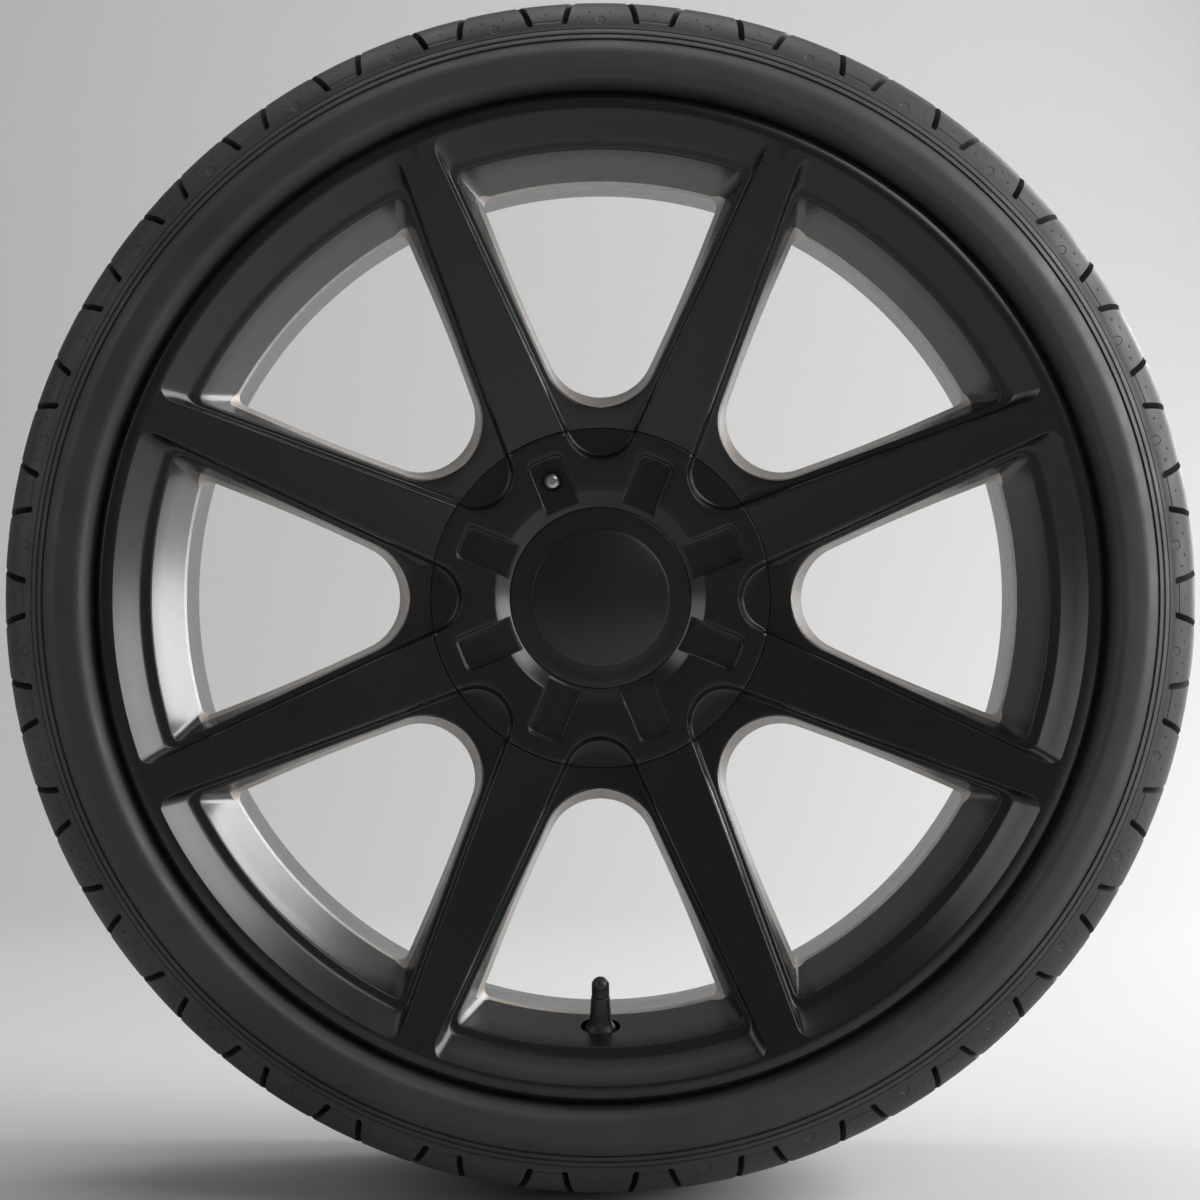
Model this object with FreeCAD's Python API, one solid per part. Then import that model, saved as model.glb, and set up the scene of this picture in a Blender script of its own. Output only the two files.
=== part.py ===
import FreeCAD, Part
import math
import os

from FreeCAD import Placement, Rotation, Vector

# A road car wheel with its tyre, millimetres. The wheel turns about Y, its outer face looks along -Y,
# +Z is up, and the origin is the centre of the wheel, midway between the two rim flanges.

# Sizes that are marked on such a wheel and tyre
inch = 25.4
rim_code = 20.0
rim_width_code = 9.5
tyre_width = 275.0
tyre_aspect = 0.30

# How far a cut runs past the face that it starts from, and the closest that two points are taken as one
cut_past = 1.0
join_distance = 1e-6

# Rim: flanges, bead seats, humps and well
seat_rise = 2.4
flange_height = 17.3
flange_thick = 12.35
flange_tip_drop = 5.2
flange_tip_round = (1.5, 1.8)
flange_back_round = (2.8, 1.3)
flange_foot_drop = 9.2
rim_heel = 3.6
seat_width = 20.5
seat_taper_deg = 5.0
hump_height = 1.4
hump_width = 6.5
hump_fall = 0.4
well_drop = 18.4
well_start = 58.0
well_width = 46.0
well_rise_run = 1.6
ledge_drop_inboard = 5.9
barrel_wall = 4.8
well_wall = 6.4
well_wall_shift = 3.0
barrel_flare = 4.0
barrel_flare_inset = 4.0
barrel_flare_run = 8.0

# Disc, spokes and windows; depths are measured inwards from the wheel's outer face
spoke_count = 8
lip_depth = 0.8
lip_r_inset = 11.7
lip_bevel = 3.0
dish_depth = 38.4
spoke_half = 9.4
wall_draft = 0.19
ledge_width = 3.0
pocket_depth = 9.5
pocket_rim_inset = 9.7
pocket_rim_draft = 1.08
pocket_tip_r = 76.0
pocket_corner_r = 6.0
window_rim_inset = 24.7
window_rim_draft = 0.32
window_tip_r = 91.8
window_tip_draft = 0.30
window_corner_r = 5.0
spoke_back_rim = 58.0
spoke_back_mid = 54.0
spoke_back_mid_r = 170.0
spoke_back_hub = 74.0
spoke_back_hub_r = 104.0
core_width = 22.0
core_end_width = 14.0
core_skin = 11.0
core_inner_r = 116.0
core_outer_r = 212.0
core_end_draft_share = 0.25

# Hub
hub_pad_r = 80.0
hub_pad_depth = 100.0
hub_pad_flare = 6.0
hub_front_depth = 54.0
hub_bore_r = 33.3
hub_recess_r = 50.0
hub_recess_depth = 68.0
bolt_count = 5
bolt_circle_r = 56.0
bolt_hole_r = 7.25
bolt_pocket_r = 16.0
bolt_seat_r = 13.5
bolt_seat_depth = 78.0
bolt_first_deg = 148.5

# Bolt cover over the hub
cover_r = 93.8
cover_gap = 0.5
cover_face_depth = 40.6
cover_well_r = 58.6
cover_well_depth = 46.5
cover_valley_depth = 47.0
cover_relief_depth = 50.8
cover_skirt = 6.0
cover_relief_draft = 1.5
pad_half = 10.0
pad_end_r = 83.0
pad_run_in = 12.0
pad_corner_r = 4.0
pad_depth = 45.0

# Screw of the bolt cover
screw_r = 3.0
screw_head_r = 5.25
screw_head_height = 3.2
screw_head_edge = 0.8
screw_bore_r = 6.6
screw_bore_depth = 49.0
screw_length = 17.0
screw_socket = 4.0
screw_socket_share = 0.6
socket_sides = 6
screw_circle_r = 70.0
screw_deg = 112.5
screw_gap = 0.1

# Centre cap and its spring ring
cap_r = 50.1
cap_gap = 0.3
cap_flange = 2.8
cap_hole_r = 45.0
dome_r = 38.2
dome_rise = 4.2
dome_edge = 1.0
dome_flat_r = 0.6
cap_skin = 2.4
leg_count = 6
leg_span_deg = 30.0
leg_wall = 2.6
leg_gap = 1.2
barb_reach = 2.0
barb_length = 2.4
barb_play = 0.3
ring_wire_r = 1.0
ring_play = 0.1

# Tyre section and tread
crown_radius = 520.0
tread_width = 208.0
tread_thick = 15.0
shoulder_inset = 10.5
shoulder_drop = 27.5
shoulder_bulge = 3.4
rib_inner_r_drop = 34.5
rib_outer_r_drop = 28.5
rib_height = 1.1
widest_drop = 41.0
guard_reach = 1.4
guard_rise = 9.6
guard_foot_rise = 3.6
guard_foot_reach = 0.5
guard_hollow = 1.6
side_wall = 11.0
bead_gap = 0.5
flange_gap = 1.2
bead_width = 19.0
bead_heel = 4.2
bead_round = (2.4, 1.0)
bead_toe_height = 7.0
bead_toe_width = 1.5
bead_apex_height = 23.4
bead_apex_wall = 15.5
liner_wide_drop = 3.5
liner_shoulder_inset = 2.0
groove_width = 9.0
groove_floor = 6.0
groove_depth = 7.5
groove_places = (21.0, 62.0)
pitch_count = 34
block_deg = 5.0
slot_width = 3.0
slot_slant_deg = 14.0
slot_start_inset = 10.0
slot_end_inset = 11.5
slot_end_drop = 24.0
slot_depth = 3.0

# Tyre valve, along its own axis from the seat in the rim
valve_seat_r = 241.0
valve_depth = 41.0
valve_tilt_deg = 20.0
valve_wall = 4.5
valve_hole_r = 5.75
valve_face_r = 11.0
valve_back_face_r = 8.6
rubber_gap = 0.1
rubber_flange_r = 9.4
rubber_flange = 2.5
rubber_neck_r = 5.9
rubber_tip_r = 5.2
rubber_neck_end = 9.0
rubber_end = 23.5
rubber_head_r = 7.9
rubber_head = 6.0
rubber_head_edge = 1.5
stem_r = 2.65
stem_thread_r = 3.85
stem_end = 30.0
stem_tail = 9.0
stem_bevel = 0.6
stem_play = 0.05
core_seat = 18.0
core_bore_r = 2.05
air_bore_r = 1.6
plug_r = 2.0
plug_length = 4.3
plug_sink = 1.2
plug_bore_r = 0.75
barrel_r = 1.5
barrel_bore_r = 1.05
barrel_bottom = 15.0
barrel_floor = 1.0
pin_r = 0.5
pin_hole_play = 0.1
pin_sink = 0.7
pin_collar_r = 0.95
pin_collar = 0.6
pin_collar_drop = 0.9
pin_cup_r = 1.35
pin_cup = 1.9
pin_cup_play = 0.05
spring_turns = 5
spring_r = 0.78
spring_wire_r = 0.12
spring_play = 0.03
gasket_height = 1.2
cap_bore_r = 4.0
cap_outer_r = 4.9
cap_foot_play = 0.7
cap_end = 35.0
cap_round = 3.7
seal_thick = 1.0
seal_play = 0.1

# Worked out from the sizes above
nominal_r = rim_code * inch / 2
seat_r = nominal_r + seat_rise
flange_r = seat_r + flange_height
tyre_r = nominal_r + tyre_width * tyre_aspect
bead_y = rim_width_code * inch / 2
face_y = -(bead_y + flange_thick)
rim_span = -2 * face_y
tread_half = tread_width / 2
round_share = 1 - math.sqrt(0.5)
lip_r = flange_r - lip_r_inset
hub_wall_r = cover_r + cover_gap
dish_slope = (dish_depth - lip_depth) / (lip_r - hub_wall_r)
half_step_deg = 180.0 / spoke_count
origin = Vector(0, 0, 0)
axle = Vector(0, 1, 0)


def ends_of(step):
    """The end point of one step of an outline, which is a point or an arc's middle and end."""
    return step[1] if isinstance(step[0], tuple) else step


def outline(start, steps):
    """Closed wire of straight and round stretches through points given as radius and axial place."""
    edges = []
    here = start
    closing = [] if math.dist(ends_of(steps[-1]), start) < join_distance else [start]
    for step in list(steps) + closing:
        there = ends_of(step)
        first, last = Vector(*here, 0), Vector(*there, 0)
        if isinstance(step[0], tuple):
            edges.append(Part.Arc(first, Vector(*step[0], 0), last).toShape())
        else:
            edges.append(Part.LineSegment(first, last).toShape())
        here = there
    return Part.Wire(edges)


def turned(start, steps, degrees=360):
    """Solid of revolution about the Y axis."""
    return Part.Face(outline(start, steps)).revolve(origin, axle, degrees)


def mirrored(start, steps):
    """The same outline on the other side of the wheel's middle plane, walked the other way."""
    points = [start] + [ends_of(step) for step in steps]
    middles = [step[0] if isinstance(step[0], tuple) else None for step in steps]

    def flip(point):
        return (point[0], -point[1])

    back = []
    for place in range(len(steps), 0, -1):
        end = flip(points[place - 1])
        back.append(end if middles[place - 1] is None else (flip(middles[place - 1]), end))
    return flip(points[-1]), back


def spun(shape, degrees):
    """Copy turned about the wheel's axis; positive turns carry +X towards +Z."""
    copy = shape.copy()
    copy.rotate(origin, axle, -degrees)
    return copy


def ring_of(shape, count, first_deg=0.0):
    """Copies of a shape evenly spaced round the wheel's axis."""
    return [spun(shape, first_deg + place * 360.0 / count) for place in range(count)]


def rod(radius, start, end, off_axis=0.0):
    """Cylinder along Y between two depths, with its axis out along +X."""
    return Part.makeCylinder(radius, end - start, Vector(off_axis, face_y + start, 0), axle)


def dome(radius, rise, top, down=1):
    """Sphere cap from the small flat at its top to its edge, as an outline's start and steps."""
    sphere = (radius ** 2 + rise ** 2) / (2 * rise)

    def place(reach):
        return (reach, top + down * (sphere - math.sqrt(sphere ** 2 - reach ** 2)))

    flat = place(dome_flat_r)
    return (0, flat[1]), [flat, (place((dome_flat_r + radius) / 2), place(radius))]


def front_depth(radius):
    """Depth of the spokes' front face below the outer face of the wheel."""
    return lip_depth + dish_slope * (lip_r - radius)


def window_outline(depth, half, rim_r, tip_r, corner_r):
    """Outline of a window at one depth: sides parallel to the two spokes, a round end at the hub,
    an arc at the rim and two rounded corners."""
    lean = math.radians(half_step_deg)
    sine, cosine = math.sin(lean), math.cos(lean)
    y = face_y + depth

    def on_side(along, side):
        return Vector(side * (along * sine - half * cosine), y, along * cosine + half * sine)

    end_r = (tip_r - half / sine) / (1 / sine - 1)
    end_z = tip_r + end_r
    corner_along = math.sqrt((rim_r - corner_r) ** 2 - (half + corner_r) ** 2)
    corner_x = corner_along * sine - (half + corner_r) * cosine
    corner_z = corner_along * cosine + (half + corner_r) * sine
    reach = rim_r / (rim_r - corner_r)
    side_turn = Vector(cosine, 0, -sine)
    rim_turn = Vector(corner_x, 0, corner_z).normalize()
    bend = (side_turn + rim_turn).normalize() * corner_r

    def corner(side):
        middle = Vector(side * (corner_x + bend.x), y, corner_z + bend.z)
        rim_end = Vector(side * corner_x * reach, y, corner_z * reach)
        return Part.Arc(on_side(corner_along, side), middle, rim_end)

    left, right = corner(-1), corner(1)
    edges = [Part.Arc(left.EndPoint, Vector(0, y, rim_r), right.EndPoint), right,
             Part.LineSegment(right.StartPoint, on_side(end_z * cosine, 1)),
             Part.Arc(on_side(end_z * cosine, 1), Vector(0, y, tip_r), on_side(end_z * cosine, -1)),
             Part.LineSegment(on_side(end_z * cosine, -1), left.StartPoint), left]
    return Part.Wire(Part.__sortEdges__([edge.toShape() for edge in edges]))


def drafted_window(top, bottom, half, rim_inset, rim_draft, tip_r, corner_r):
    """Tapered plug of a window between two depths; every wall leans so that it shows from the front."""
    sections = []
    for depth in (top, bottom):
        rim_r = flange_r - rim_inset - rim_draft * depth
        sections.append(window_outline(depth, half + wall_draft * depth, rim_r,
                                       tip_r + window_tip_draft * depth, corner_r))
    return Part.makeLoft(sections, True, True)


def front_pocket(floor):
    """The shallow pocket round one window, down to a turned floor."""
    plug = drafted_window(-hub_front_depth / 4, hub_front_depth, spoke_half, pocket_rim_inset,
                          pocket_rim_draft, pocket_tip_r - window_tip_draft * dish_depth, pocket_corner_r)
    return plug.common(floor)


def disc_floor():
    """Space in front of the pockets' floor on the disc, which lies one pocket depth below the spokes."""
    rim_floor_r = flange_r - pocket_rim_inset - pocket_rim_draft * (front_depth(lip_r) + pocket_depth)
    high, far = face_y - hub_front_depth, 2 * flange_r
    deep = face_y + front_depth(rim_floor_r) + pocket_depth
    deepest = face_y + front_depth(hub_wall_r) + pocket_depth
    return turned((hub_wall_r, high), [
        (far, high), (far, deep), (rim_floor_r, deep), (hub_wall_r, deepest)])


def cover_floor():
    """Space in front of the valleys' floor on the bolt cover."""
    high = face_y - hub_front_depth
    floor = face_y + cover_valley_depth
    return turned((0, high), [(hub_wall_r, high), (hub_wall_r, floor), (0, floor)])


def rim_outer_half():
    """Tyre side of the rim from the outer flange's tip to the well, at the wheel's outer half."""
    taper = math.tan(math.radians(seat_taper_deg))
    inner_face = face_y + flange_thick
    seat_end = inner_face + seat_width
    seat_end_r = seat_r - taper * (seat_width - rim_heel)
    hump_end = seat_end + hump_width
    heel_middle = rim_heel * round_share
    tip_drop, tip_in = flange_tip_round
    back_drop, back_out = flange_back_round
    start = (flange_r - flange_tip_drop, face_y)
    steps = [((flange_r - tip_drop, face_y + tip_in), (flange_r, face_y + flange_thick / 2)),
             ((flange_r - back_drop, inner_face - back_out), (flange_r - flange_foot_drop, inner_face)),
             (seat_r + rim_heel, inner_face),
             ((seat_r + heel_middle, inner_face + heel_middle), (seat_r, inner_face + rim_heel)),
             (seat_end_r, seat_end),
             ((seat_end_r + hump_height, (seat_end + hump_end) / 2), (seat_end_r - hump_fall, hump_end))]
    return start, steps


def wheel():
    """One-piece cast wheel: rim, drop-centre barrel, dished disc with stepped windows, and hub."""
    start, outer_side = rim_outer_half()
    far_start, inboard_side = mirrored(start, outer_side)
    well_r = seat_r - well_drop
    ledge_r = seat_r - ledge_drop_inboard
    well_y = face_y + well_start
    barrel_r = ledge_r - barrel_wall
    well_in_r = well_r - well_wall
    rise = (ledge_r - well_r) * well_rise_run
    well_end = well_y + well_width
    flare_y = -face_y - flange_thick - barrel_flare_inset
    back_middle = face_y + (spoke_back_hub + hub_pad_depth) / 2
    back = [(spoke_back_mid_r, face_y + spoke_back_mid), (spoke_back_hub_r, face_y + spoke_back_hub),
            (hub_pad_r + hub_pad_flare, back_middle), (hub_pad_r, face_y + hub_pad_depth)]
    profile = outer_side + [
        (well_r, well_y), (well_r, well_end), (ledge_r, well_end + rise),
        (ledge_r, far_start[1] - hump_width), far_start] + inboard_side + [
        (barrel_r + barrel_flare, flare_y + barrel_flare_run), (barrel_r, flare_y - barrel_flare_run),
        (barrel_r, well_end + rise + well_wall_shift), (well_in_r, well_end + well_wall_shift),
        (well_in_r, face_y + spoke_back_rim)] + back + [
        (hub_bore_r, face_y + hub_pad_depth), (hub_bore_r, face_y + hub_recess_depth),
        (hub_recess_r, face_y + hub_recess_depth), (hub_recess_r, face_y + hub_front_depth),
        (hub_wall_r, face_y + hub_front_depth), (hub_wall_r, face_y + front_depth(hub_wall_r)),
        (lip_r, face_y + lip_depth), (lip_r + lip_bevel, face_y)]
    blank = turned(start, profile)
    over = hub_front_depth / 4
    window = drafted_window(-over, hub_pad_depth + over, spoke_half + ledge_width, window_rim_inset,
                            window_rim_draft, window_tip_r, window_corner_r)
    cuts = ring_of(front_pocket(disc_floor()), spoke_count) + ring_of(window, spoke_count)
    cuts += ring_of(spoke_core(), spoke_count, half_step_deg)
    cuts += ring_of(bolt_hole(), bolt_count, bolt_first_deg)
    thread = rod(screw_r + screw_gap, hub_front_depth, hub_front_depth + screw_length, screw_circle_r)
    cuts += [spun(thread, screw_deg)] + valve_seat()
    return blank.cut(cuts).removeSplitter()


def spoke_core():
    """Tapered hollow in the back of the spoke that points along +Z; its floor runs along the front face."""
    back = face_y + hub_pad_depth
    near_floor = face_y + front_depth(core_inner_r) + core_skin
    far_floor = face_y + front_depth(core_outer_r) + core_skin
    near_grow, far_grow = wall_draft * (back - near_floor), wall_draft * (back - far_floor)
    sections = []
    ends = ((near_floor, far_floor, 0, 0), (back, back, near_grow, far_grow))
    for near_y, far_y, near_more, far_more in ends:
        inner, outer = core_width / 2 + near_more, core_end_width / 2 + far_more
        near, far = core_inner_r - near_more, core_outer_r + far_more * core_end_draft_share
        points = [Vector(-inner, near_y, near), Vector(inner, near_y, near),
                  Vector(outer, far_y, far), Vector(-outer, far_y, far)]
        sections.append(Part.makePolygon(points + points[:1]))
    return Part.makeLoft(sections, True, True)


def bolt_hole():
    """Bolt hole on +X with its conical seat and the pocket for the bolt's head."""
    cone_end = bolt_seat_depth + bolt_seat_r - bolt_hole_r
    pocket = rod(bolt_pocket_r, hub_recess_depth - bolt_pocket_r, bolt_seat_depth, bolt_circle_r)
    cone = Part.makeCone(bolt_seat_r, bolt_hole_r, cone_end - bolt_seat_depth,
                         Vector(bolt_circle_r, face_y + bolt_seat_depth, 0), axle)
    hole = rod(bolt_hole_r, cone_end, hub_pad_depth + cut_past, bolt_circle_r)
    return pocket.fuse([cone, hole])


def on_valve(shape):
    """Moves a piece that stands on its seat along +Z to the valve's place in the rim."""
    moved = shape.copy()
    turn = Rotation(Vector(1, 0, 0), valve_tilt_deg)
    seat = Placement(Vector(0, face_y + valve_depth, -valve_seat_r), turn)
    moved.Placement = seat.multiply(shape.Placement)
    return moved


def post(points):
    """Round piece on the valve's own axis, through points given as radius and height."""
    corners = [Vector(radius, 0, height) for radius, height in points]
    face = Part.Face(Part.makePolygon(corners + corners[:1]))
    return face.revolve(origin, Vector(0, 0, 1), 360)


def valve_seat():
    """Hole and the two flat faces that the valve needs in the rim."""
    clear = 4 * valve_face_r
    inside = post([(0, 0), (valve_face_r, 0), (valve_face_r, clear), (0, clear)])
    low = -valve_wall - cut_past
    hole = post([(0, low), (valve_hole_r, low), (valve_hole_r, cut_past), (0, cut_past)])
    outside = post([(0, -valve_wall - clear), (valve_back_face_r, -valve_wall - clear),
                    (valve_back_face_r, -valve_wall), (0, -valve_wall)])
    return [on_valve(inside), on_valve(hole), on_valve(outside)]


def tyre_side():
    """Outer half of the tyre's outside, from the tread's edge down to the bead toe."""
    half = tyre_width / 2
    edge_r = crown_r(tread_half)
    shoulder_end = (tyre_r - shoulder_drop, -(half - shoulder_inset))
    rib_in = tyre_r - rib_inner_r_drop
    rib_out = tyre_r - rib_outer_r_drop
    wide_r = tyre_r - widest_drop
    guard_r = flange_r + guard_rise
    inner_face = face_y + flange_thick
    taper = math.tan(math.radians(seat_taper_deg))
    base_r = seat_r + bead_gap
    heel_middle = bead_heel * round_share
    bead_face = inner_face + bead_gap
    bead_drop, bead_out = bead_round
    shoulder_mid = ((edge_r + shoulder_end[0]) / 2 + shoulder_bulge,
                    (-tread_half + shoulder_end[1]) / 2 - shoulder_bulge)
    side_slope = shoulder_inset / (shoulder_end[0] - wide_r)

    def side_y(radius):
        return shoulder_end[1] - side_slope * (shoulder_end[0] - radius)

    steps = [(shoulder_mid, shoulder_end), (rib_out, side_y(rib_out)),
             (rib_out, side_y(rib_out) - rib_height), (rib_in, side_y(rib_in) - rib_height),
             (rib_in, side_y(rib_in)), (wide_r, -half), (guard_r, -half - guard_reach),
             ((flange_r + (guard_rise + guard_foot_rise) / 2 - guard_hollow, -half - guard_reach / 3),
              (flange_r + guard_foot_rise, face_y - guard_foot_reach)),
             (flange_r + flange_gap, face_y + flange_thick / 2),
             ((flange_r - bead_drop, bead_face - bead_out), (flange_r - flange_foot_drop, bead_face)),
             (base_r + bead_heel, bead_face),
             ((base_r + heel_middle, bead_face + heel_middle), (base_r, bead_face + bead_heel)),
             (base_r - taper * (bead_width - bead_heel), inner_face + bead_width)]
    return (edge_r, -tread_half), steps


def crown_r(across):
    """Radius of the tread at a distance across from the middle plane."""
    return tyre_r - crown_radius + math.sqrt(crown_radius ** 2 - across ** 2)


def tread_steps():
    """Outline across the tread from the inboard edge to the outer one, with its round grooves."""
    centres = sorted(side * place for place in groove_places for side in (-1, 1))
    steps = []
    for centre in reversed(centres):
        for across, sink in ((groove_width / 2, 0), (groove_floor / 2, groove_depth),
                             (-groove_floor / 2, groove_depth), (-groove_width / 2, 0)):
            steps.append((crown_r(centre + across) - sink, centre + across))
    return steps + [(crown_r(tread_half), -tread_half)]


def shoulder_slots():
    """Slanted slots that cut the tread's shoulders into blocks, on both sides of the tyre."""
    half = tyre_width / 2
    near = (crown_r(tread_half - slot_start_inset), -(tread_half - slot_start_inset))
    far = (tyre_r - slot_end_drop, -(half - slot_end_inset))
    run = Vector(far[0] - near[0], far[1] - near[1], 0)
    out = Vector(-run.y, run.x, 0).normalize() * (2 * groove_depth)
    if out.x < 0:
        out = -out
    sink = out * (-slot_depth / out.Length)
    a, b = Vector(*near, -slot_width / 2) + sink, Vector(*far, -slot_width / 2) + sink
    blade = Part.Face(Part.makePolygon([a, b, b + out, a + out, a])).extrude(Vector(0, 0, slot_width))
    slots = []
    for side in (-1, 1):
        slot = blade.copy()
        slot.rotate((a + b) / 2, out, side * slot_slant_deg)
        slots += ring_of(slot, pitch_count, side * block_deg / 2)
    other = [slot.mirror(origin, axle) for slot in slots]
    return slots + other


def tyre():
    """Moulded tyre: tread, shoulders, sidewalls and beads round an open air space."""
    start, outer = tyre_side()
    far_start, inboard = mirrored(start, outer)
    toe_r, toe_y = ends_of(outer[-1])
    inner_half = tyre_width / 2 - side_wall
    shoulder_r = crown_r(tread_half) - tread_thick
    wide_r = tyre_r - widest_drop - liner_wide_drop
    toe_top, toe_side = toe_r + bead_toe_height, toe_y + bead_toe_width
    shoulder_y = tread_half - liner_shoulder_inset
    apex_r, apex_y = toe_r + bead_apex_height, tyre_width / 2 - bead_apex_wall
    liner = [(toe_top, toe_side), (apex_r, -apex_y), ((wide_r, -inner_half), (shoulder_r, -shoulder_y)),
             ((tyre_r - tread_thick, 0), (shoulder_r, shoulder_y)),
             ((wide_r, inner_half), (apex_r, apex_y)), (toe_top, -toe_side), far_start]
    blank = turned(start, outer + liner + inboard + tread_steps())
    return blank.cut(shoulder_slots())


def bolt_cover():
    """Cover over the wheel bolts, with a valley for each window and a pad recess for each spoke."""
    back = face_y + hub_front_depth
    relief = face_y + cover_relief_depth
    seat = face_y + cover_well_depth + cap_flange + cap_gap
    blank = turned((cap_hole_r, back), [
        (cap_hole_r, seat), (cap_r + cap_gap, seat), (cap_r + cap_gap, face_y + cover_well_depth),
        (cover_well_r, face_y + cover_face_depth), (cover_r, face_y + front_depth(hub_wall_r)),
        (cover_r, back), (cover_r - cover_skirt, back), (cover_r - cover_skirt - cover_relief_draft, relief),
        (cover_well_r + 2 * cover_relief_draft, relief), (cover_well_r + cover_relief_draft, back)])
    cuts = ring_of(front_pocket(cover_floor()), spoke_count)
    cuts += ring_of(pad_recess(), spoke_count, half_step_deg)
    bore = rod(screw_bore_r, pad_depth - cut_past, screw_bore_depth, screw_circle_r)
    hole = rod(screw_r + screw_gap, screw_bore_depth, hub_front_depth, screw_circle_r)
    cuts += [spun(bore.fuse(hole), screw_deg)]
    return blank.cut(cuts).removeSplitter()


def pad_recess():
    """Rounded recess along +Z in the cover, open to the well in its middle."""
    top, deep = face_y, face_y + pad_depth
    low, turn = cover_well_r - pad_run_in, pad_corner_r
    diagonal = turn * round_share
    left, right, end = -pad_half, pad_half, pad_end_r
    edges = [Part.LineSegment(Vector(left, top, low), Vector(left, top, end - turn)),
             Part.Arc(Vector(left, top, end - turn), Vector(left + diagonal, top, end - diagonal),
                      Vector(left + turn, top, end)),
             Part.LineSegment(Vector(left + turn, top, end), Vector(right - turn, top, end)),
             Part.Arc(Vector(right - turn, top, end), Vector(right - diagonal, top, end - diagonal),
                      Vector(right, top, end - turn)),
             Part.LineSegment(Vector(right, top, end - turn), Vector(right, top, low)),
             Part.LineSegment(Vector(right, top, low), Vector(left, top, low))]
    outline_wire = Part.Wire([edge.toShape() for edge in edges])
    return Part.Face(outline_wire).extrude(Vector(0, deep - top, 0))


def cover_screw():
    """Round-headed socket screw that holds the cover to the hub."""
    seat = screw_bore_depth
    top = seat - screw_head_height
    start, round_top = dome(screw_head_r, screw_head_height - screw_head_edge, face_y + top)
    head = turned(start, round_top + [
        (screw_head_r, face_y + seat), (screw_r, face_y + seat), (screw_r, face_y + seat + screw_length),
        (0, face_y + seat + screw_length)])
    corner = screw_socket / 2 / math.cos(math.pi / socket_sides)
    turns = [2 * math.pi * place / socket_sides for place in range(socket_sides)]
    points = [Vector(corner * math.cos(turn), face_y + top - cut_past, corner * math.sin(turn))
              for turn in turns]
    socket_depth = cut_past + screw_head_height * screw_socket_share
    socket = Part.Face(Part.makePolygon(points + points[:1])).extrude(axle * socket_depth)
    screw = head.cut(socket)
    screw.translate(Vector(screw_circle_r, 0, 0))
    return spun(screw, screw_deg)


def centre_cap():
    """Domed cap in the middle of the cover, with spring legs that hook behind it."""
    seat = face_y + cover_well_depth + cap_flange + cap_gap
    face = seat - cap_flange
    edge = face - dome_edge
    skin = cap_skin
    inner_r = dome_r - skin
    top = edge - dome_rise
    start, outside = dome(dome_r, dome_rise, top)
    inner_start, (inner_flat, (inner_middle, inner_edge)) = dome(inner_r, dome_rise, top + skin)
    shell = turned(start, outside + [
        (dome_r, face), (cap_r, face), (cap_r, seat), (inner_r, seat), inner_edge,
        (inner_middle, inner_flat), inner_start])
    out_r = cap_hole_r - leg_gap
    in_r = out_r - leg_wall
    hook = face_y + hub_front_depth + barb_play
    leg_end = hook + barb_length + barb_play
    barb_r = cap_hole_r + barb_reach - leg_gap
    leg = turned((in_r, seat - cap_flange / 2), [
        (out_r, seat - cap_flange / 2), (out_r, hook), (barb_r, hook), (out_r, hook + barb_length),
        (out_r, leg_end), (in_r, leg_end)], leg_span_deg)
    return shell.fuse(ring_of(leg, leg_count)).removeSplitter()


def cap_spring_ring():
    """Wire ring that presses the cap's legs outwards."""
    wire_at = cap_hole_r - leg_gap - leg_wall - ring_play - ring_wire_r
    place = face_y + hub_front_depth + barb_play + barb_length / 2
    return Part.makeTorus(wire_at, ring_wire_r, Vector(0, place, 0), axle)


def valve_body():
    """Rubber snap-in body, with a head inside the rim and a flange outside it."""
    bore = stem_r + stem_play
    low = -valve_wall
    return on_valve(post([
        (bore, low - rubber_head), (rubber_neck_r, low - rubber_head),
        (rubber_head_r, low - rubber_gap - rubber_head_edge),
        (rubber_head_r, low - rubber_gap), (valve_hole_r - rubber_gap, low - rubber_gap),
        (valve_hole_r - rubber_gap, rubber_gap), (rubber_flange_r, rubber_gap),
        (rubber_flange_r, rubber_flange),
        (rubber_neck_r, rubber_neck_end), (rubber_tip_r, rubber_end), (bore, rubber_end)]))


def valve_stem():
    """Brass tube in the rubber, wider and threaded where it comes out."""
    return on_valve(post([
        (air_bore_r, -stem_tail), (stem_r, -stem_tail), (stem_r, rubber_end + stem_play),
        (stem_thread_r, rubber_end + stem_play), (stem_thread_r, stem_end - stem_bevel),
        (stem_thread_r - stem_bevel, stem_end),
        (core_bore_r, stem_end), (core_bore_r, core_seat), (air_bore_r, core_seat)]))


def valve_core():
    """Core of the valve: a threaded plug on a thin barrel that guides the pin."""
    plug_top = stem_end - plug_sink
    plug_foot = plug_top - plug_length
    floor = barrel_bottom + barrel_floor
    return on_valve(post([
        (pin_r + pin_hole_play, barrel_bottom), (barrel_r, barrel_bottom), (barrel_r, plug_foot),
        (plug_r, plug_foot), (plug_r, plug_top), (plug_bore_r, plug_top), (plug_bore_r, plug_foot),
        (barrel_bore_r, plug_foot), (barrel_bore_r, floor), (pin_r + pin_hole_play, floor)]))


def collar_top():
    """Height of the upper face of the pin's collar at rest, just under the plug."""
    return stem_end - plug_sink - plug_length - pin_collar_drop


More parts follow.
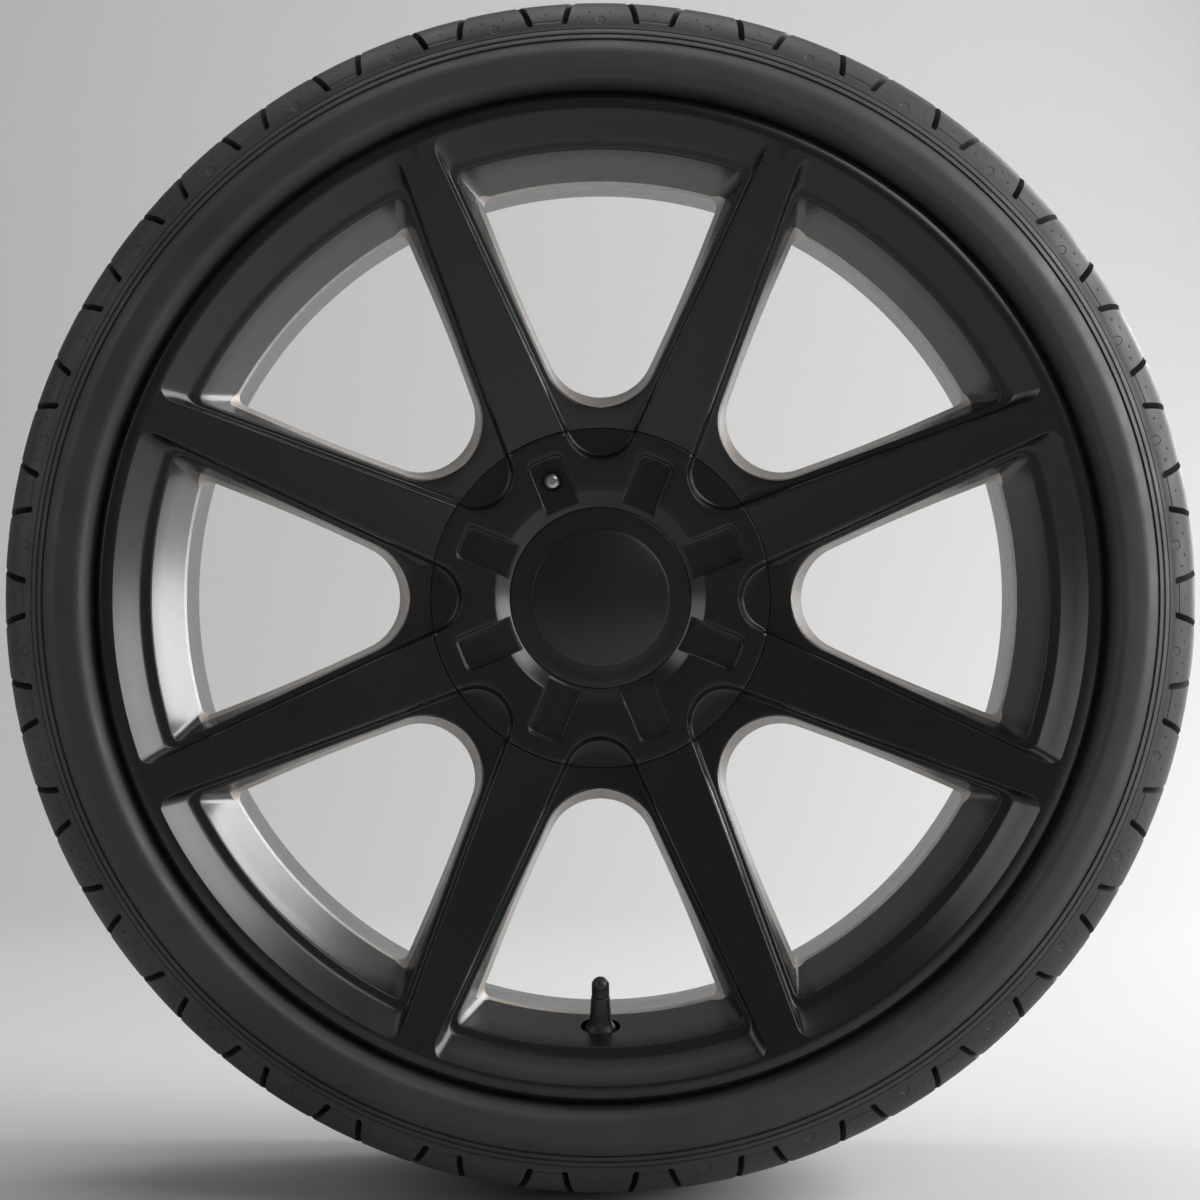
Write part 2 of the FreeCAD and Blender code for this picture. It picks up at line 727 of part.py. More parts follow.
def valve_pin():
    """Pin that opens the valve when it is pressed, with its collar and its sealing cup."""
    cup_top = barrel_bottom - pin_cup_play
    collar = collar_top()
    return on_valve(post([
        (0, cup_top - pin_cup), (pin_cup_r, cup_top - pin_cup), (pin_cup_r, cup_top), (pin_r, cup_top),
        (pin_r, collar - pin_collar), (pin_collar_r, collar - pin_collar), (pin_collar_r, collar),
        (pin_r, collar), (pin_r, stem_end - pin_sink), (0, stem_end - pin_sink)]))


def valve_spring():
    """Coil spring between the barrel's floor and the pin's collar, as half turns that rise in turn."""
    low = barrel_bottom + barrel_floor + spring_wire_r + spring_play
    height = collar_top() - pin_collar - spring_wire_r - spring_play - low
    rise = height / (2 * spring_turns)
    turns = []
    for half in range(2 * spring_turns):
        side = 1 if half % 2 == 0 else -1
        start = Vector(side * spring_r, 0, low + half * rise)
        end = Vector(-side * spring_r, 0, low + (half + 1) * rise)
        across = (end - start).normalize()
        section = Part.Face(Part.Wire(Part.makeCircle(spring_wire_r, start, axle)))
        turns.append(section.revolve((start + end) / 2, axle.cross(across) * side, 180))
    return on_valve(turns[0].fuse(turns[1:]).removeSplitter())


def core_gasket():
    """Rubber ring that seals the core on its seat in the stem."""
    inner, outer = barrel_r + stem_play, core_bore_r - stem_play
    return on_valve(post([(inner, core_seat), (outer, core_seat), (outer, core_seat + gasket_height),
                          (inner, core_seat + gasket_height)]))


def valve_cap():
    """Round-ended dust cap that screws on the stem."""
    foot = rubber_end + cap_foot_play
    ceiling = stem_end + seal_thick + 2 * seal_play
    start, round_end = dome(cap_outer_r, cap_round, cap_end, -1)
    face = Part.Face(outline(start, round_end + [
        (cap_outer_r, foot), (cap_bore_r, foot), (cap_bore_r, ceiling), (0, ceiling)]))
    face.rotate(origin, Vector(1, 0, 0), 90)
    return on_valve(face.revolve(origin, Vector(0, 0, 1), 360))


def cap_seal():
    """Rubber disc in the dust cap that shuts the end of the stem."""
    low = stem_end + seal_play
    outer = cap_bore_r - seal_play
    return on_valve(post([(0, low), (outer, low), (outer, low + seal_thick), (0, low + seal_thick)]))


pieces = {
    "tyre": tyre, "wheel": wheel, "bolt_cover": bolt_cover, "cover_screw": cover_screw,
    "centre_cap": centre_cap, "cap_spring_ring": cap_spring_ring, "valve_body": valve_body,
    "valve_stem": valve_stem, "valve_core": valve_core, "core_gasket": core_gasket, "valve_pin": valve_pin,
    "valve_spring": valve_spring, "valve_cap": valve_cap, "cap_seal": cap_seal,
}

os.makedirs("parts", exist_ok=True)
for name, make in pieces.items():
    shape = make()
    shape.exportStep("parts/" + name + ".step")
    print(name, len(shape.Solids), "solid", round(shape.Volume / 1000, 3), "cm3", shape.isValid())
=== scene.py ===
import bpy
import bmesh
import math
import numpy as np
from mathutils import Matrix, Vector


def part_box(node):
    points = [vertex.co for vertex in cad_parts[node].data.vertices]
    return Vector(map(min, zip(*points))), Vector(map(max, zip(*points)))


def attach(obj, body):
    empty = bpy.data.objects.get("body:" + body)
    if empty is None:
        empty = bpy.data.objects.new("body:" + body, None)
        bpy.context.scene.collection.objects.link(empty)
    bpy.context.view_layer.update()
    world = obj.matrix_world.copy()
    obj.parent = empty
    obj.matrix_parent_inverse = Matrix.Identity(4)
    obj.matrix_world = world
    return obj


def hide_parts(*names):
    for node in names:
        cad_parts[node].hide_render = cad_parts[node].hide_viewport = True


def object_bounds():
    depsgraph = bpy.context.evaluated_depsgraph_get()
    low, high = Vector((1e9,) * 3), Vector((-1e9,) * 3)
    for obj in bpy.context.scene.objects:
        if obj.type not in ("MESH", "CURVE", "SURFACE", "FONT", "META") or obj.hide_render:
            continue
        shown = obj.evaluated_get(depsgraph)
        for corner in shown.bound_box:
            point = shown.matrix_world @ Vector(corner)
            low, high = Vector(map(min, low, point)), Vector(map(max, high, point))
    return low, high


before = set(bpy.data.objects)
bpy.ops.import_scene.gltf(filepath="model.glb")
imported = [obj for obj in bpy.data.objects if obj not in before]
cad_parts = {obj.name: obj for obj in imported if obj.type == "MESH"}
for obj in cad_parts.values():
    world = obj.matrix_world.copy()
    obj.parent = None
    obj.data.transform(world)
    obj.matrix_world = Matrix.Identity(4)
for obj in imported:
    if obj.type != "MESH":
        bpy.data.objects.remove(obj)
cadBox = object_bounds()
mm = 0.001
cornerShare = 0.45  # most of a stretch that the round at either end may take
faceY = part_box("wheel")[0][1] / mm  # outer face of the wheel, millimetres; depths count inwards from it
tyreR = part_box("tyre")[1][2] / mm
mainBody = "wheel_and_tyre"
print("frame loaded:", len(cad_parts), "nodes")


def roundedRows(creases, rounds, spans, arcSteps=3):
    # Rows across a surface that is given by its crease lines, one after the other. Each inner crease
    # becomes a quadratic curve that starts and ends "round" away from it, and each flat stretch
    # between two creases is split into "spans" straight steps. A round of 0 keeps the crease itself.
    creases = np.asarray(creases, float)
    rows = [creases[0]]
    start = creases[0]
    for place in range(1, len(creases) - 1):
        corner = creases[place]
        back, ahead = creases[place - 1] - corner, creases[place + 1] - corner
        backLength = np.linalg.norm(back[..., :3], axis=-1, keepdims=True) + 1e-9
        aheadLength = np.linalg.norm(ahead[..., :3], axis=-1, keepdims=True) + 1e-9
        size = np.minimum(rounds[place - 1], cornerShare * np.minimum(backLength, aheadLength))
        first, last = corner + back / backLength * size, corner + ahead / aheadLength * size
        rows += [start + (first - start) * step for step in np.linspace(0, 1, spans[place - 1] + 1)[1:]]
        if np.max(rounds[place - 1]) > 0:
            for step in np.linspace(0, 1, arcSteps + 1)[1:]:
                rows.append((1 - step) ** 2 * first + 2 * step * (1 - step) * corner + step ** 2 * last)
        start = last
    rows += [start + (creases[-1] - start) * step for step in np.linspace(0, 1, spans[-1] + 1)[1:]]
    return np.stack(rows)


def roundedProfile(points, rounds, spans, arcSteps=3):  # the same for one line of (radius, depth) points
    creases = np.array([[(radius, depth, 0.0)] for radius, depth in points], float)
    return roundedRows(creases, rounds, spans, arcSteps)[:, 0, :2]


def gridFaces(rows, columns, closed, first=0, closedRows=False):
    # quads between neighbouring rows and columns, joined end to end where the grid is closed
    row = np.arange(rows if closedRows else rows - 1)[:, None]
    column = np.arange(columns if closed else columns - 1)[None, :]
    nextRow, nextColumn = (row + 1) % rows, (column + 1) % columns
    corners = [row * columns + column, row * columns + nextColumn,
               nextRow * columns + nextColumn, nextRow * columns + column]
    return first + np.stack(corners, -1).reshape(-1, 4)


def spun(grid, count, firstDeg=0.0):  # the same grid turned about the axle into each of "count" even places
    copies = []
    for turn in np.radians(firstDeg + np.arange(count) * 360.0 / count):
        copy = grid.copy()
        copy[..., 0] = grid[..., 0] * math.cos(turn) + grid[..., 2] * math.sin(turn)
        copy[..., 2] = grid[..., 2] * math.cos(turn) - grid[..., 0] * math.sin(turn)
        copies.append(copy)
    return copies


def lathe(profile, angles):  # each profile point (radius, depth) is carried round the axle through the angles
    profile, angles = np.asarray(profile, float), np.asarray(angles, float)
    radius, depth = profile[:, :1], profile[:, 1:2]
    return np.stack([radius * np.sin(angles), depth + 0 * angles, radius * np.cos(angles)], -1)


def evenTurns(count):
    return np.arange(count) * 2 * math.pi / count


def wheelPlace(grid):  # across, depth and up in millimetres, to metres in the frame
    return np.stack([grid[..., 0], faceY + grid[..., 1], grid[..., 2]], -1) * mm


def makeMesh(name, patches, place):
    # patches are (grid, closed) pairs; a fourth channel, where a grid has one, goes to the attribute "bare"
    points, faces, bare, count = [], [], [], 0
    for grid, closed in patches:
        flat = grid.reshape(-1, grid.shape[-1])
        points.append(place(flat[:, :3]))
        bare.append(flat[:, 3] if flat.shape[1] > 3 else np.zeros(len(flat)))
        faces.append(gridFaces(grid.shape[0], grid.shape[1], closed, count))
        count += len(flat)
    mesh = bpy.data.meshes.new(name)
    mesh.from_pydata(np.concatenate(points).tolist(), [], np.concatenate(faces).tolist())
    mesh.attributes.new("bare", "FLOAT", "POINT").data.foreach_set("value", np.concatenate(bare))
    return mesh


def weldMesh(mesh, fillDepths=(), weld=0.004):
    # welds the seams, fills flat rings left open at the given depths, and turns the faces outwards
    shape = bmesh.new()
    shape.from_mesh(mesh)
    bmesh.ops.remove_doubles(shape, verts=shape.verts, dist=weld * mm)
    bmesh.ops.dissolve_degenerate(shape, dist=weld * mm, edges=shape.edges)
    for depth in fillDepths:
        level = (faceY + depth) * mm
        edges = [edge for edge in shape.edges
                 if edge.is_boundary and all(abs(vert.co.y - level) < weld * mm for vert in edge.verts)]
        bmesh.ops.triangle_fill(shape, use_beauty=True, edges=edges, normal=(0, 1, 0))
    bmesh.ops.recalc_face_normals(shape, faces=shape.faces)
    if shape.calc_volume(signed=True) < 0:
        bmesh.ops.reverse_faces(shape, faces=shape.faces)
    shape.to_mesh(mesh)
    shape.free()
    return mesh


def bored(mesh, cutter):  # takes the cutter's shape out of a mesh
    holder, tool = bpy.data.objects.new("holder", mesh), bpy.data.objects.new("tool", cutter)
    for thing in (holder, tool):
        bpy.context.scene.collection.objects.link(thing)
    cut = holder.modifiers.new("bore", "BOOLEAN")
    cut.object, cut.operation, cut.solver = tool, "DIFFERENCE", "EXACT"
    result = bpy.data.meshes.new_from_object(holder.evaluated_get(bpy.context.evaluated_depsgraph_get()))
    result.name = mesh.name + "_bored"
    for thing in (holder, tool):
        bpy.data.objects.remove(thing)
    return result


def addPiece(name, mesh, body, nodes, material, sharpDeg=38.0):
    mesh.shade_smooth()
    mesh.set_sharp_from_angle(angle=math.radians(sharpDeg))
    mesh.materials.clear()
    mesh.materials.append(material)
    piece = bpy.data.objects.new(name, mesh)
    bpy.context.scene.collection.objects.link(piece)
    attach(piece, body)
    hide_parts(*nodes)
    mesh.calc_loop_triangles()
    print(name, len(mesh.loop_triangles), "triangles")


def addNode(tree, kind, inputs=None, **settings):  # a node with its settings; an input is a value or a socket
    made = tree.nodes.new(kind)
    for key, value in settings.items():
        setattr(made, key, value)
    for key, value in (inputs or {}).items():
        if isinstance(value, bpy.types.NodeSocket):
            tree.links.new(value, made.inputs[key])
        else:
            made.inputs[key].default_value = value
    return made


def newMaterial(name, inputs):  # a surface shader with plain numbers; returns material, tree and shader
    material = bpy.data.materials.new(name)
    material.use_nodes = True
    tree = material.node_tree
    tree.nodes.clear()
    shader = addNode(tree, "ShaderNodeBsdfPrincipled", inputs)
    output = addNode(tree, "ShaderNodeOutputMaterial")
    tree.links.new(shader.outputs["BSDF"], output.inputs["Surface"])
    return material, tree, shader


def noiseOf(tree, scale, detail=3.0):
    place = addNode(tree, "ShaderNodeTexCoord").outputs["Object"]
    inputs = {"Vector": place, "Scale": scale, "Detail": detail}
    return addNode(tree, "ShaderNodeTexNoise", inputs).outputs["Fac"]


def ramp(tree, value, low, high, fromLow=0.3, fromHigh=0.7):  # noise spread over a range of numbers
    return addNode(tree, "ShaderNodeMapRange", {"Value": value, "From Min": fromLow, "From Max": fromHigh,
                                                "To Min": low, "To Max": high}).outputs["Result"]


def tint(tree, share, first, second):  # colour between two, by a share
    # the mix node has sockets of the same name for each kind, so the ones for colours go by number
    return addNode(tree, "ShaderNodeMix", {0: share, 6: first, 7: second}, data_type="RGBA").outputs[2]


def bump(tree, shader, height, strength, distance, under=None):
    inputs = {"Height": height, "Strength": strength, "Distance": distance}
    if under:
        inputs["Normal"] = under
    made = addNode(tree, "ShaderNodeBump", inputs)
    tree.links.new(made.outputs["Normal"], shader.inputs["Normal"])


paintSet = {
    "alloy": (0.0042, 0.0042, 0.0045, 1), "alloyWorn": (0.0062, 0.0062, 0.0066, 1),
    "cover": (0.0040, 0.0040, 0.0043, 1), "coverWorn": (0.0058, 0.0058, 0.0061, 1),
    "coverRough": (0.22, 0.29), "capRough": (0.27, 0.34), "grainStrength": 0.12, "grainDepth": 0.00006,
    "bare": (0.62, 0.55, 0.50, 1), "bareScale": 260.0, "bareShade": 0.8,
    "bareRough": 0.42, "roughLow": 0.25, "roughHigh": 0.29, "grainScale": 1400.0, "grainDetail": 1.0,
    "cloudScale": 5.0, "sheenScale": 20.0,
}


def satinPaint(name, colour, worn, roughLow, roughHigh, withBare):
    # satin paint: slow clouds in colour and roughness and a very fine grain; "bare" shows the pale metal
    s = paintSet
    material, tree, shader = newMaterial(name, {"Specular IOR Level": 0.5, "IOR": 1.5})
    cloud = noiseOf(tree, s["cloudScale"])
    colourOut = tint(tree, ramp(tree, cloud, 0, 1), colour, worn)
    roughOut = ramp(tree, noiseOf(tree, s["sheenScale"]), roughLow, roughHigh)
    if withBare:
        share = addNode(tree, "ShaderNodeAttribute", attribute_name="bare").outputs["Fac"]
        shade = tuple(s["bareShade"] * value for value in s["bare"])
        streak = tint(tree, ramp(tree, noiseOf(tree, s["bareScale"]), 0, 1), s["bare"], shade)
        colourOut = tint(tree, share, colourOut, streak)
        roughOut = addNode(tree, "ShaderNodeMapRange", {"Value": share, "To Min": roughOut,
                                                        "To Max": s["bareRough"]}).outputs["Result"]
    tree.links.new(colourOut, shader.inputs["Base Color"])
    tree.links.new(roughOut, shader.inputs["Roughness"])
    bump(tree, shader, noiseOf(tree, s["grainScale"], s["grainDetail"]), s["grainStrength"], s["grainDepth"])
    return material


alloyPaint = satinPaint("satin_black_alloy", paintSet["alloy"], paintSet["alloyWorn"],
                        paintSet["roughLow"], paintSet["roughHigh"], True)
coverPaint = satinPaint("satin_black_cover", paintSet["cover"], paintSet["coverWorn"],
                        *paintSet["coverRough"], False)
capPaint = satinPaint("cap_black", paintSet["cover"], paintSet["coverWorn"], *paintSet["capRough"], False)


wheelSet = {
    "spokes": 8, "lipR": 262.0, "lipDepth": 0.8, "faceR": 265.0, "hubR": 94.3, "hubDepth": 38.4,
    "pocketDepth": 9.5, "pocketHalf": 9.4, "pocketRimR": 264.0, "pocketRimDraft": 1.08, "pocketFloorR": 252.9,
    "pocketCorner": 6.0, "windowHalf": 12.4, "windowRimR": 249.0, "windowRimDraft": 0.32,
    "windowTip": 91.8, "windowCorner": 5.0, "sideDraft": 0.19, "tipDraft": 0.30, "sideEnd": 126.8,
    "edgeRound": 1.3, "footRound": 1.6, "ledgeRound": 1.0, "backRound": 1.0,
    "bareSide": 15.0, "bareHub": 24.0, "bareRim": 4.0, "bareEdge": 0.5,
    "coreSkin": 11.0, "coreInR": 116.0, "coreOutR": 212.0, "coreInHalf": 11.0, "coreOutHalf": 7.0,
    "barrelR": 231.6, "padR": 80.0, "padDepth": 100.0, "seatDepth": 54.0, "floorR": 73.6, "floorDepth": 68.0,
    "boreR": 33.3, "boltR": 7.25, "boltCircle": 56.0, "bolts": 5, "boltFirstDeg": 148.5,
    "rimSteps": 20, "cornerSteps": 7, "sideSteps": 30, "hubSideSteps": 8, "hubSteps": 9,
    "backRadii": (80, 83, 86, 95, 104, 120, 137, 155, 170, 190, 231.6),
    "backDepths": (100, 93, 87, 79.5, 73, 66.5, 61, 56.5, 54.6, 54.2, 58),
    "meetStart": 20.0, "meetSteps": 40, "frontShares": (0.0, 0.3, 0.6, 0.85), "coreEnds": 4, "coreBrim": 3.0,
    "backShares": (0.35, 0.6, 0.8), "coreRounds": (0.8, 1.5), "rowSpans": (1, 2, 2, 3, 1, 2, 2, 1, 2, 2),
    "wallRows": 6, "boreBevel": 2.0, "boltMouth": 5.0, "boltSeat": 16.0, "boltBevel": 1.0,
    "boreTurns": 96, "boltTurns": 32,
}
lean = math.pi / wheelSet["spokes"]  # half of the turn between two spokes
dishSlope = (wheelSet["hubDepth"] - wheelSet["lipDepth"]) / (wheelSet["lipR"] - wheelSet["hubR"])


def frontDepth(radius):  # front of the spokes: a shallow cone, with a small bevel out to the flange's face
    s = wheelSet
    cone = s["lipDepth"] + dishSlope * (s["lipR"] - radius)
    bevel = s["lipDepth"] * (s["faceR"] - radius) / (s["faceR"] - s["lipR"])
    return np.where(radius < s["lipR"], cone, bevel)


def pocketFloor(radius):  # floor of the shallow pocket round a window
    return frontDepth(np.minimum(radius, wheelSet["pocketFloorR"])) + wheelSet["pocketDepth"]


def spokeBack(radius):  # back of the spokes, a soft curve from the barrel to the hub pad
    return np.interp(radius, wheelSet["backRadii"], wheelSet["backDepths"])


def outlineAt(depth, half, rimR, tipR, cornerR, hubR=None):
    # Half outline of a window from its middle at the rim to its middle at the hub, with one depth per column.
    # Its sides run parallel to the spokes, "half" away from their centre lines; the rim end is an arc about
    # the axle, and the hub end an arc that meets both sides. With hubR the sides run on to that circle.
    s = wheelSet
    counts = [s["rimSteps"], s["cornerSteps"], s["sideSteps"], s["hubSideSteps"]]
    rim, corner, side, run, end = np.split(np.arange(len(depth)), np.cumsum(counts))
    sine, cosine = math.sin(lean), math.cos(lean)
    cornerAlong = np.sqrt((rimR - cornerR) ** 2 - (half + cornerR) ** 2)
    cornerX = cornerAlong * sine - (half + cornerR) * cosine
    cornerZ = cornerAlong * cosine + (half + cornerR) * sine
    cornerTurn = np.arctan2(cornerX, cornerZ)
    endR = (tipR - half / sine) / (1 / sine - 1)
    endZ = tipR + endR
    sideStop = np.full(len(depth), s["sideEnd"]) if hubR else endZ * cosine
    x, z = np.zeros(len(depth)), np.zeros(len(depth))
    turn = cornerTurn[rim] * np.linspace(0, 1, len(rim), endpoint=False)
    x[rim], z[rim] = rimR[rim] * np.sin(turn), rimR[rim] * np.cos(turn)
    sweep = math.pi / 2 + lean - cornerTurn[corner]
    turn = cornerTurn[corner] + sweep * np.linspace(0, 1, len(corner), False)
    x[corner], z[corner] = cornerX[corner] + cornerR * np.sin(turn), cornerZ[corner] + cornerR * np.cos(turn)
    along = cornerAlong[side] + (sideStop[side] - cornerAlong[side]) * np.linspace(0, 1, len(side), False)
    x[side], z[side] = along * sine - half[side] * cosine, along * cosine + half[side] * sine
    if hubR:
        reach = np.sqrt(hubR ** 2 - half[run] ** 2) - sideStop[run]
        along = sideStop[run] + reach * np.linspace(0, 1, len(run))
        x[run], z[run] = along * sine - half[run] * cosine, along * cosine + half[run] * sine
        turn = (lean - np.arcsin(half[end] / hubR)) * np.linspace(1, 0, len(end))
        x[end], z[end] = hubR * np.sin(turn), hubR * np.cos(turn)
    else:
        share = np.concatenate([np.linspace(0, 0.5, len(run)), np.linspace(0.5, 1, len(end))])
        both = np.concatenate([run, end])
        turn = math.pi / 2 + lean + (math.pi / 2 - lean) * share
        x[both], z[both] = endR[both] * np.sin(turn), endZ[both] + endR[both] * np.cos(turn)
    return x, z


def pocketWall(depth):
    s = wheelSet
    half, rimR = s["pocketHalf"] + s["sideDraft"] * depth, s["pocketRimR"] - s["pocketRimDraft"] * depth
    return outlineAt(depth, half, rimR, s["hubR"] + 0 * depth, s["pocketCorner"], s["hubR"])


def windowWall(depth):
    s = wheelSet
    half, rimR = s["windowHalf"] + s["sideDraft"] * depth, s["windowRimR"] - s["windowRimDraft"] * depth
    return outlineAt(depth, half, rimR, s["windowTip"] + s["tipDraft"] * depth, s["windowCorner"])


def meetAt(wall, surface, count):  # where a leaning wall meets a turned surface, by halving the error in turn
    depth = np.full(count, wheelSet["meetStart"])
    for step in range(wheelSet["meetSteps"]):
        x, z = wall(depth)
        depth = 0.5 * depth + 0.5 * surface(np.hypot(x, z))
    return np.stack([x, depth, z, 0 * x], -1)


def wheelSector():
    # One window with half a spoke on each side. Columns run round the window, rows run across: spoke front,
    # rounded edge, pocket wall, ledge, window wall with its bare rear part, and the back with its hollow.
    s = wheelSet
    nRim, nArc = s["rimSteps"], s["rimSteps"] + s["cornerSteps"]
    nLine = s["sideSteps"] + s["hubSideSteps"]
    count = nArc + nLine + s["hubSteps"]
    line, hub = slice(nArc, nArc + nLine), slice(nArc + nLine, count)
    edge = meetAt(pocketWall, frontDepth, count)
    foot = meetAt(pocketWall, pocketFloor, count)
    ledge = meetAt(windowWall, pocketFloor, count)
    rear = meetAt(windowWall, lambda radius: spokeBack(np.minimum(radius, s["barrelR"])), count)
    edge[hub] = foot[hub]  # the valley is open at the hub

    edgeR, edgeTurn = np.hypot(edge[:, 0], edge[:, 2]), np.arctan2(edge[:, 0], edge[:, 2])
    centreR, centreTurn = edgeR.copy(), edgeTurn.copy()
    centreR[:nArc] = s["faceR"]
    centreTurn[nRim:nArc] = np.linspace(edgeTurn[nRim - 1], lean, s["cornerSteps"] + 1)[1:]
    along = edge[line, 0] * math.sin(lean) + edge[line, 2] * math.cos(lean)
    along[s["sideSteps"]:] += (s["hubR"] - along[-1]) * np.linspace(0, 1, s["hubSideSteps"])
    centreR[line], centreTurn[line] = along, lean
    front = []
    for share in s["frontShares"]:  # polar steps over the cone, from the spoke's centre line to its edge
        radius, turn = centreR + (edgeR - centreR) * share, centreTurn + (edgeTurn - centreTurn) * share
        depth = frontDepth(radius)
        depth[hub] = edge[hub, 1]
        front.append(np.stack([radius * np.sin(turn), depth, radius * np.cos(turn), 0 * turn], -1))

    bareHeight = np.concatenate([  # part of the window wall that is left bare, measured up from the rear edge
        np.full(nRim, s["bareRim"]), np.linspace(s["bareRim"], s["bareSide"], s["cornerSteps"]),
        np.full(s["sideSteps"], s["bareSide"]),
        np.linspace(s["bareSide"], s["bareHub"], s["hubSideSteps"] + s["hubSteps"])])
    bareTop = rear.copy()
    bareTop[:, 1] = rear[:, 1] - bareHeight
    bareTop[:, 0], bareTop[:, 2] = windowWall(bareTop[:, 1])
    bareLow = bareTop.copy()
    bareLow[:, 1] += s["bareEdge"]
    bareLow[:, 0], bareLow[:, 2] = windowWall(bareLow[:, 1])
    bareLow[:, 3] = rear[:, 3] = 1.0

    ends = s["coreEnds"]  # columns between the hollow's ends and the barrel or the hub
    backR, backTurn = np.full(count, s["padR"]), np.full(count, lean)
    backR[:nArc], backTurn[:nArc] = s["barrelR"], centreTurn[:nArc]
    backR[line] = np.concatenate([np.linspace(s["barrelR"], s["coreOutR"], ends),
                                  np.linspace(s["coreOutR"], s["coreInR"], nLine - 2 * ends),
                                  np.linspace(s["coreInR"], s["padR"], ends)])
    backTurn[hub] = np.linspace(lean, 0, s["hubSteps"])
    inLine, hollow = np.zeros(count, bool), np.zeros(count, bool)
    inLine[line] = True
    hollow[nArc + ends:nArc + nLine - ends] = True
    share = np.clip((backR - s["coreInR"]) / (s["coreOutR"] - s["coreInR"]), 0, 1)
    half = s["coreInHalf"] + (s["coreOutHalf"] - s["coreInHalf"]) * share
    wide = half + s["sideDraft"] * (spokeBack(backR) - frontDepth(backR) - s["coreSkin"])
    backX, backZ = backR * np.sin(backTurn), backR * np.cos(backTurn)

    def onBack(offset, share, sunk):
        # a line beside the spoke's centre line, or part of the way to the barrel or hub; sunk in the hollow
        x = np.where(inLine, backX - offset * math.cos(lean), rear[:, 0] + (backX - rear[:, 0]) * share)
        z = np.where(inLine, backZ + offset * math.sin(lean), rear[:, 2] + (backZ - rear[:, 2]) * share)
        reach = np.minimum(np.hypot(x, z), s["barrelR"])
        depth = np.where(hollow & sunk, frontDepth(reach) + s["coreSkin"], spokeBack(reach))
        return np.stack([x, depth, z, 0 * x], -1)

    brim, lip, floor = s["backShares"]
    creases = [front[-1], edge, foot, ledge, bareTop, bareLow, rear,
               onBack(wide + s["coreBrim"], brim, False), onBack(wide, lip, False),
               onBack(half, floor, True), onBack(0 * half, 1.0, True)]
    rounds = [s["edgeRound"], s["footRound"], s["ledgeRound"], 0, 0, s["backRound"], 0, *s["coreRounds"]]
    grid = np.concatenate([np.stack(front[:-1]), roundedRows(creases, rounds, s["rowSpans"])])
    wallEnd = len(front) + s["wallRows"]  # rows down to the foot of the pocket wall
    brink = np.concatenate([grid[:wallEnd, nArc + nLine - 1], grid[0, hub]])  # edge of the hub's opening
    low = brink.copy()
    turn = np.arctan2(brink[:, 0], brink[:, 2])
    low[:, 0], low[:, 1], low[:, 2] = s["hubR"] * np.sin(turn), s["seatDepth"], s["hubR"] * np.cos(turn)
    wall = np.stack([brink, low])
    other = grid[:, -2:0:-1].copy()  # the other half, along the same loop
    other[..., 0] *= -1
    otherWall = wall.copy()
    otherWall[..., 0] *= -1
    turns = np.concatenate([centreTurn[:nArc], [lean], -centreTurn[nArc - 1:0:-1]])
    return np.concatenate([grid, other], 1), [wall, otherWall], turns


rimSet = {
    "outer": [(265, 0), (268.5, 0), (271.6, 1.2), (273.6, 4.2), (273.6, 8.2), (271.4, 11.0), (264.5, 12.35),
              (260, 12.35), (256.4, 15.9), (254.9, 32.8), (256.2, 36.0), (254.4, 39.4)],
    "well": [(238, 58), (238, 104), (250.5, 124), (250.5, 223)],
    "barrel": [(249.7, 257.6), (245.7, 241.6), (245.7, 127), (231.6, 107), (231.6, 58)],
    "round": 1.6,
}


def rimProfile():  # outer flange, seat and well, the same flange turned round at the far end, then the inside
    s = rimSet
    inboard = [(radius, -2 * faceY - depth) for radius, depth in reversed(s["outer"])]
    points = s["outer"] + s["well"] + inboard[:-1] + s["barrel"]
    spans = [1] * (len(points) - 1)
    return roundedProfile(points, [s["round"]] * (len(points) - 2), spans, 2)


valveSet = {
    "seatR": 241.0, "depth": 41.0, "tiltDeg": 20.0, "faceR": 11.0, "clear": 44.0, "faceTurns": 64,
}


def valvePlace(grid):  # a piece on the valve's own axis: across, along its lean, and out of the seat
    tilt = math.radians(valveSet["tiltDeg"])
    x, y, out = grid[..., 0], grid[..., 2], grid[..., 1]
    return np.stack([x, faceY + valveSet["depth"] + y * math.cos(tilt) - out * math.sin(tilt),
                     -valveSet["seatR"] + y * math.sin(tilt) + out * math.cos(tilt)], -1) * mm


def post(profile, turns=48):  # closed round piece on the valve's axis from (radius, height) points
    return lathe(profile, evenTurns(turns))


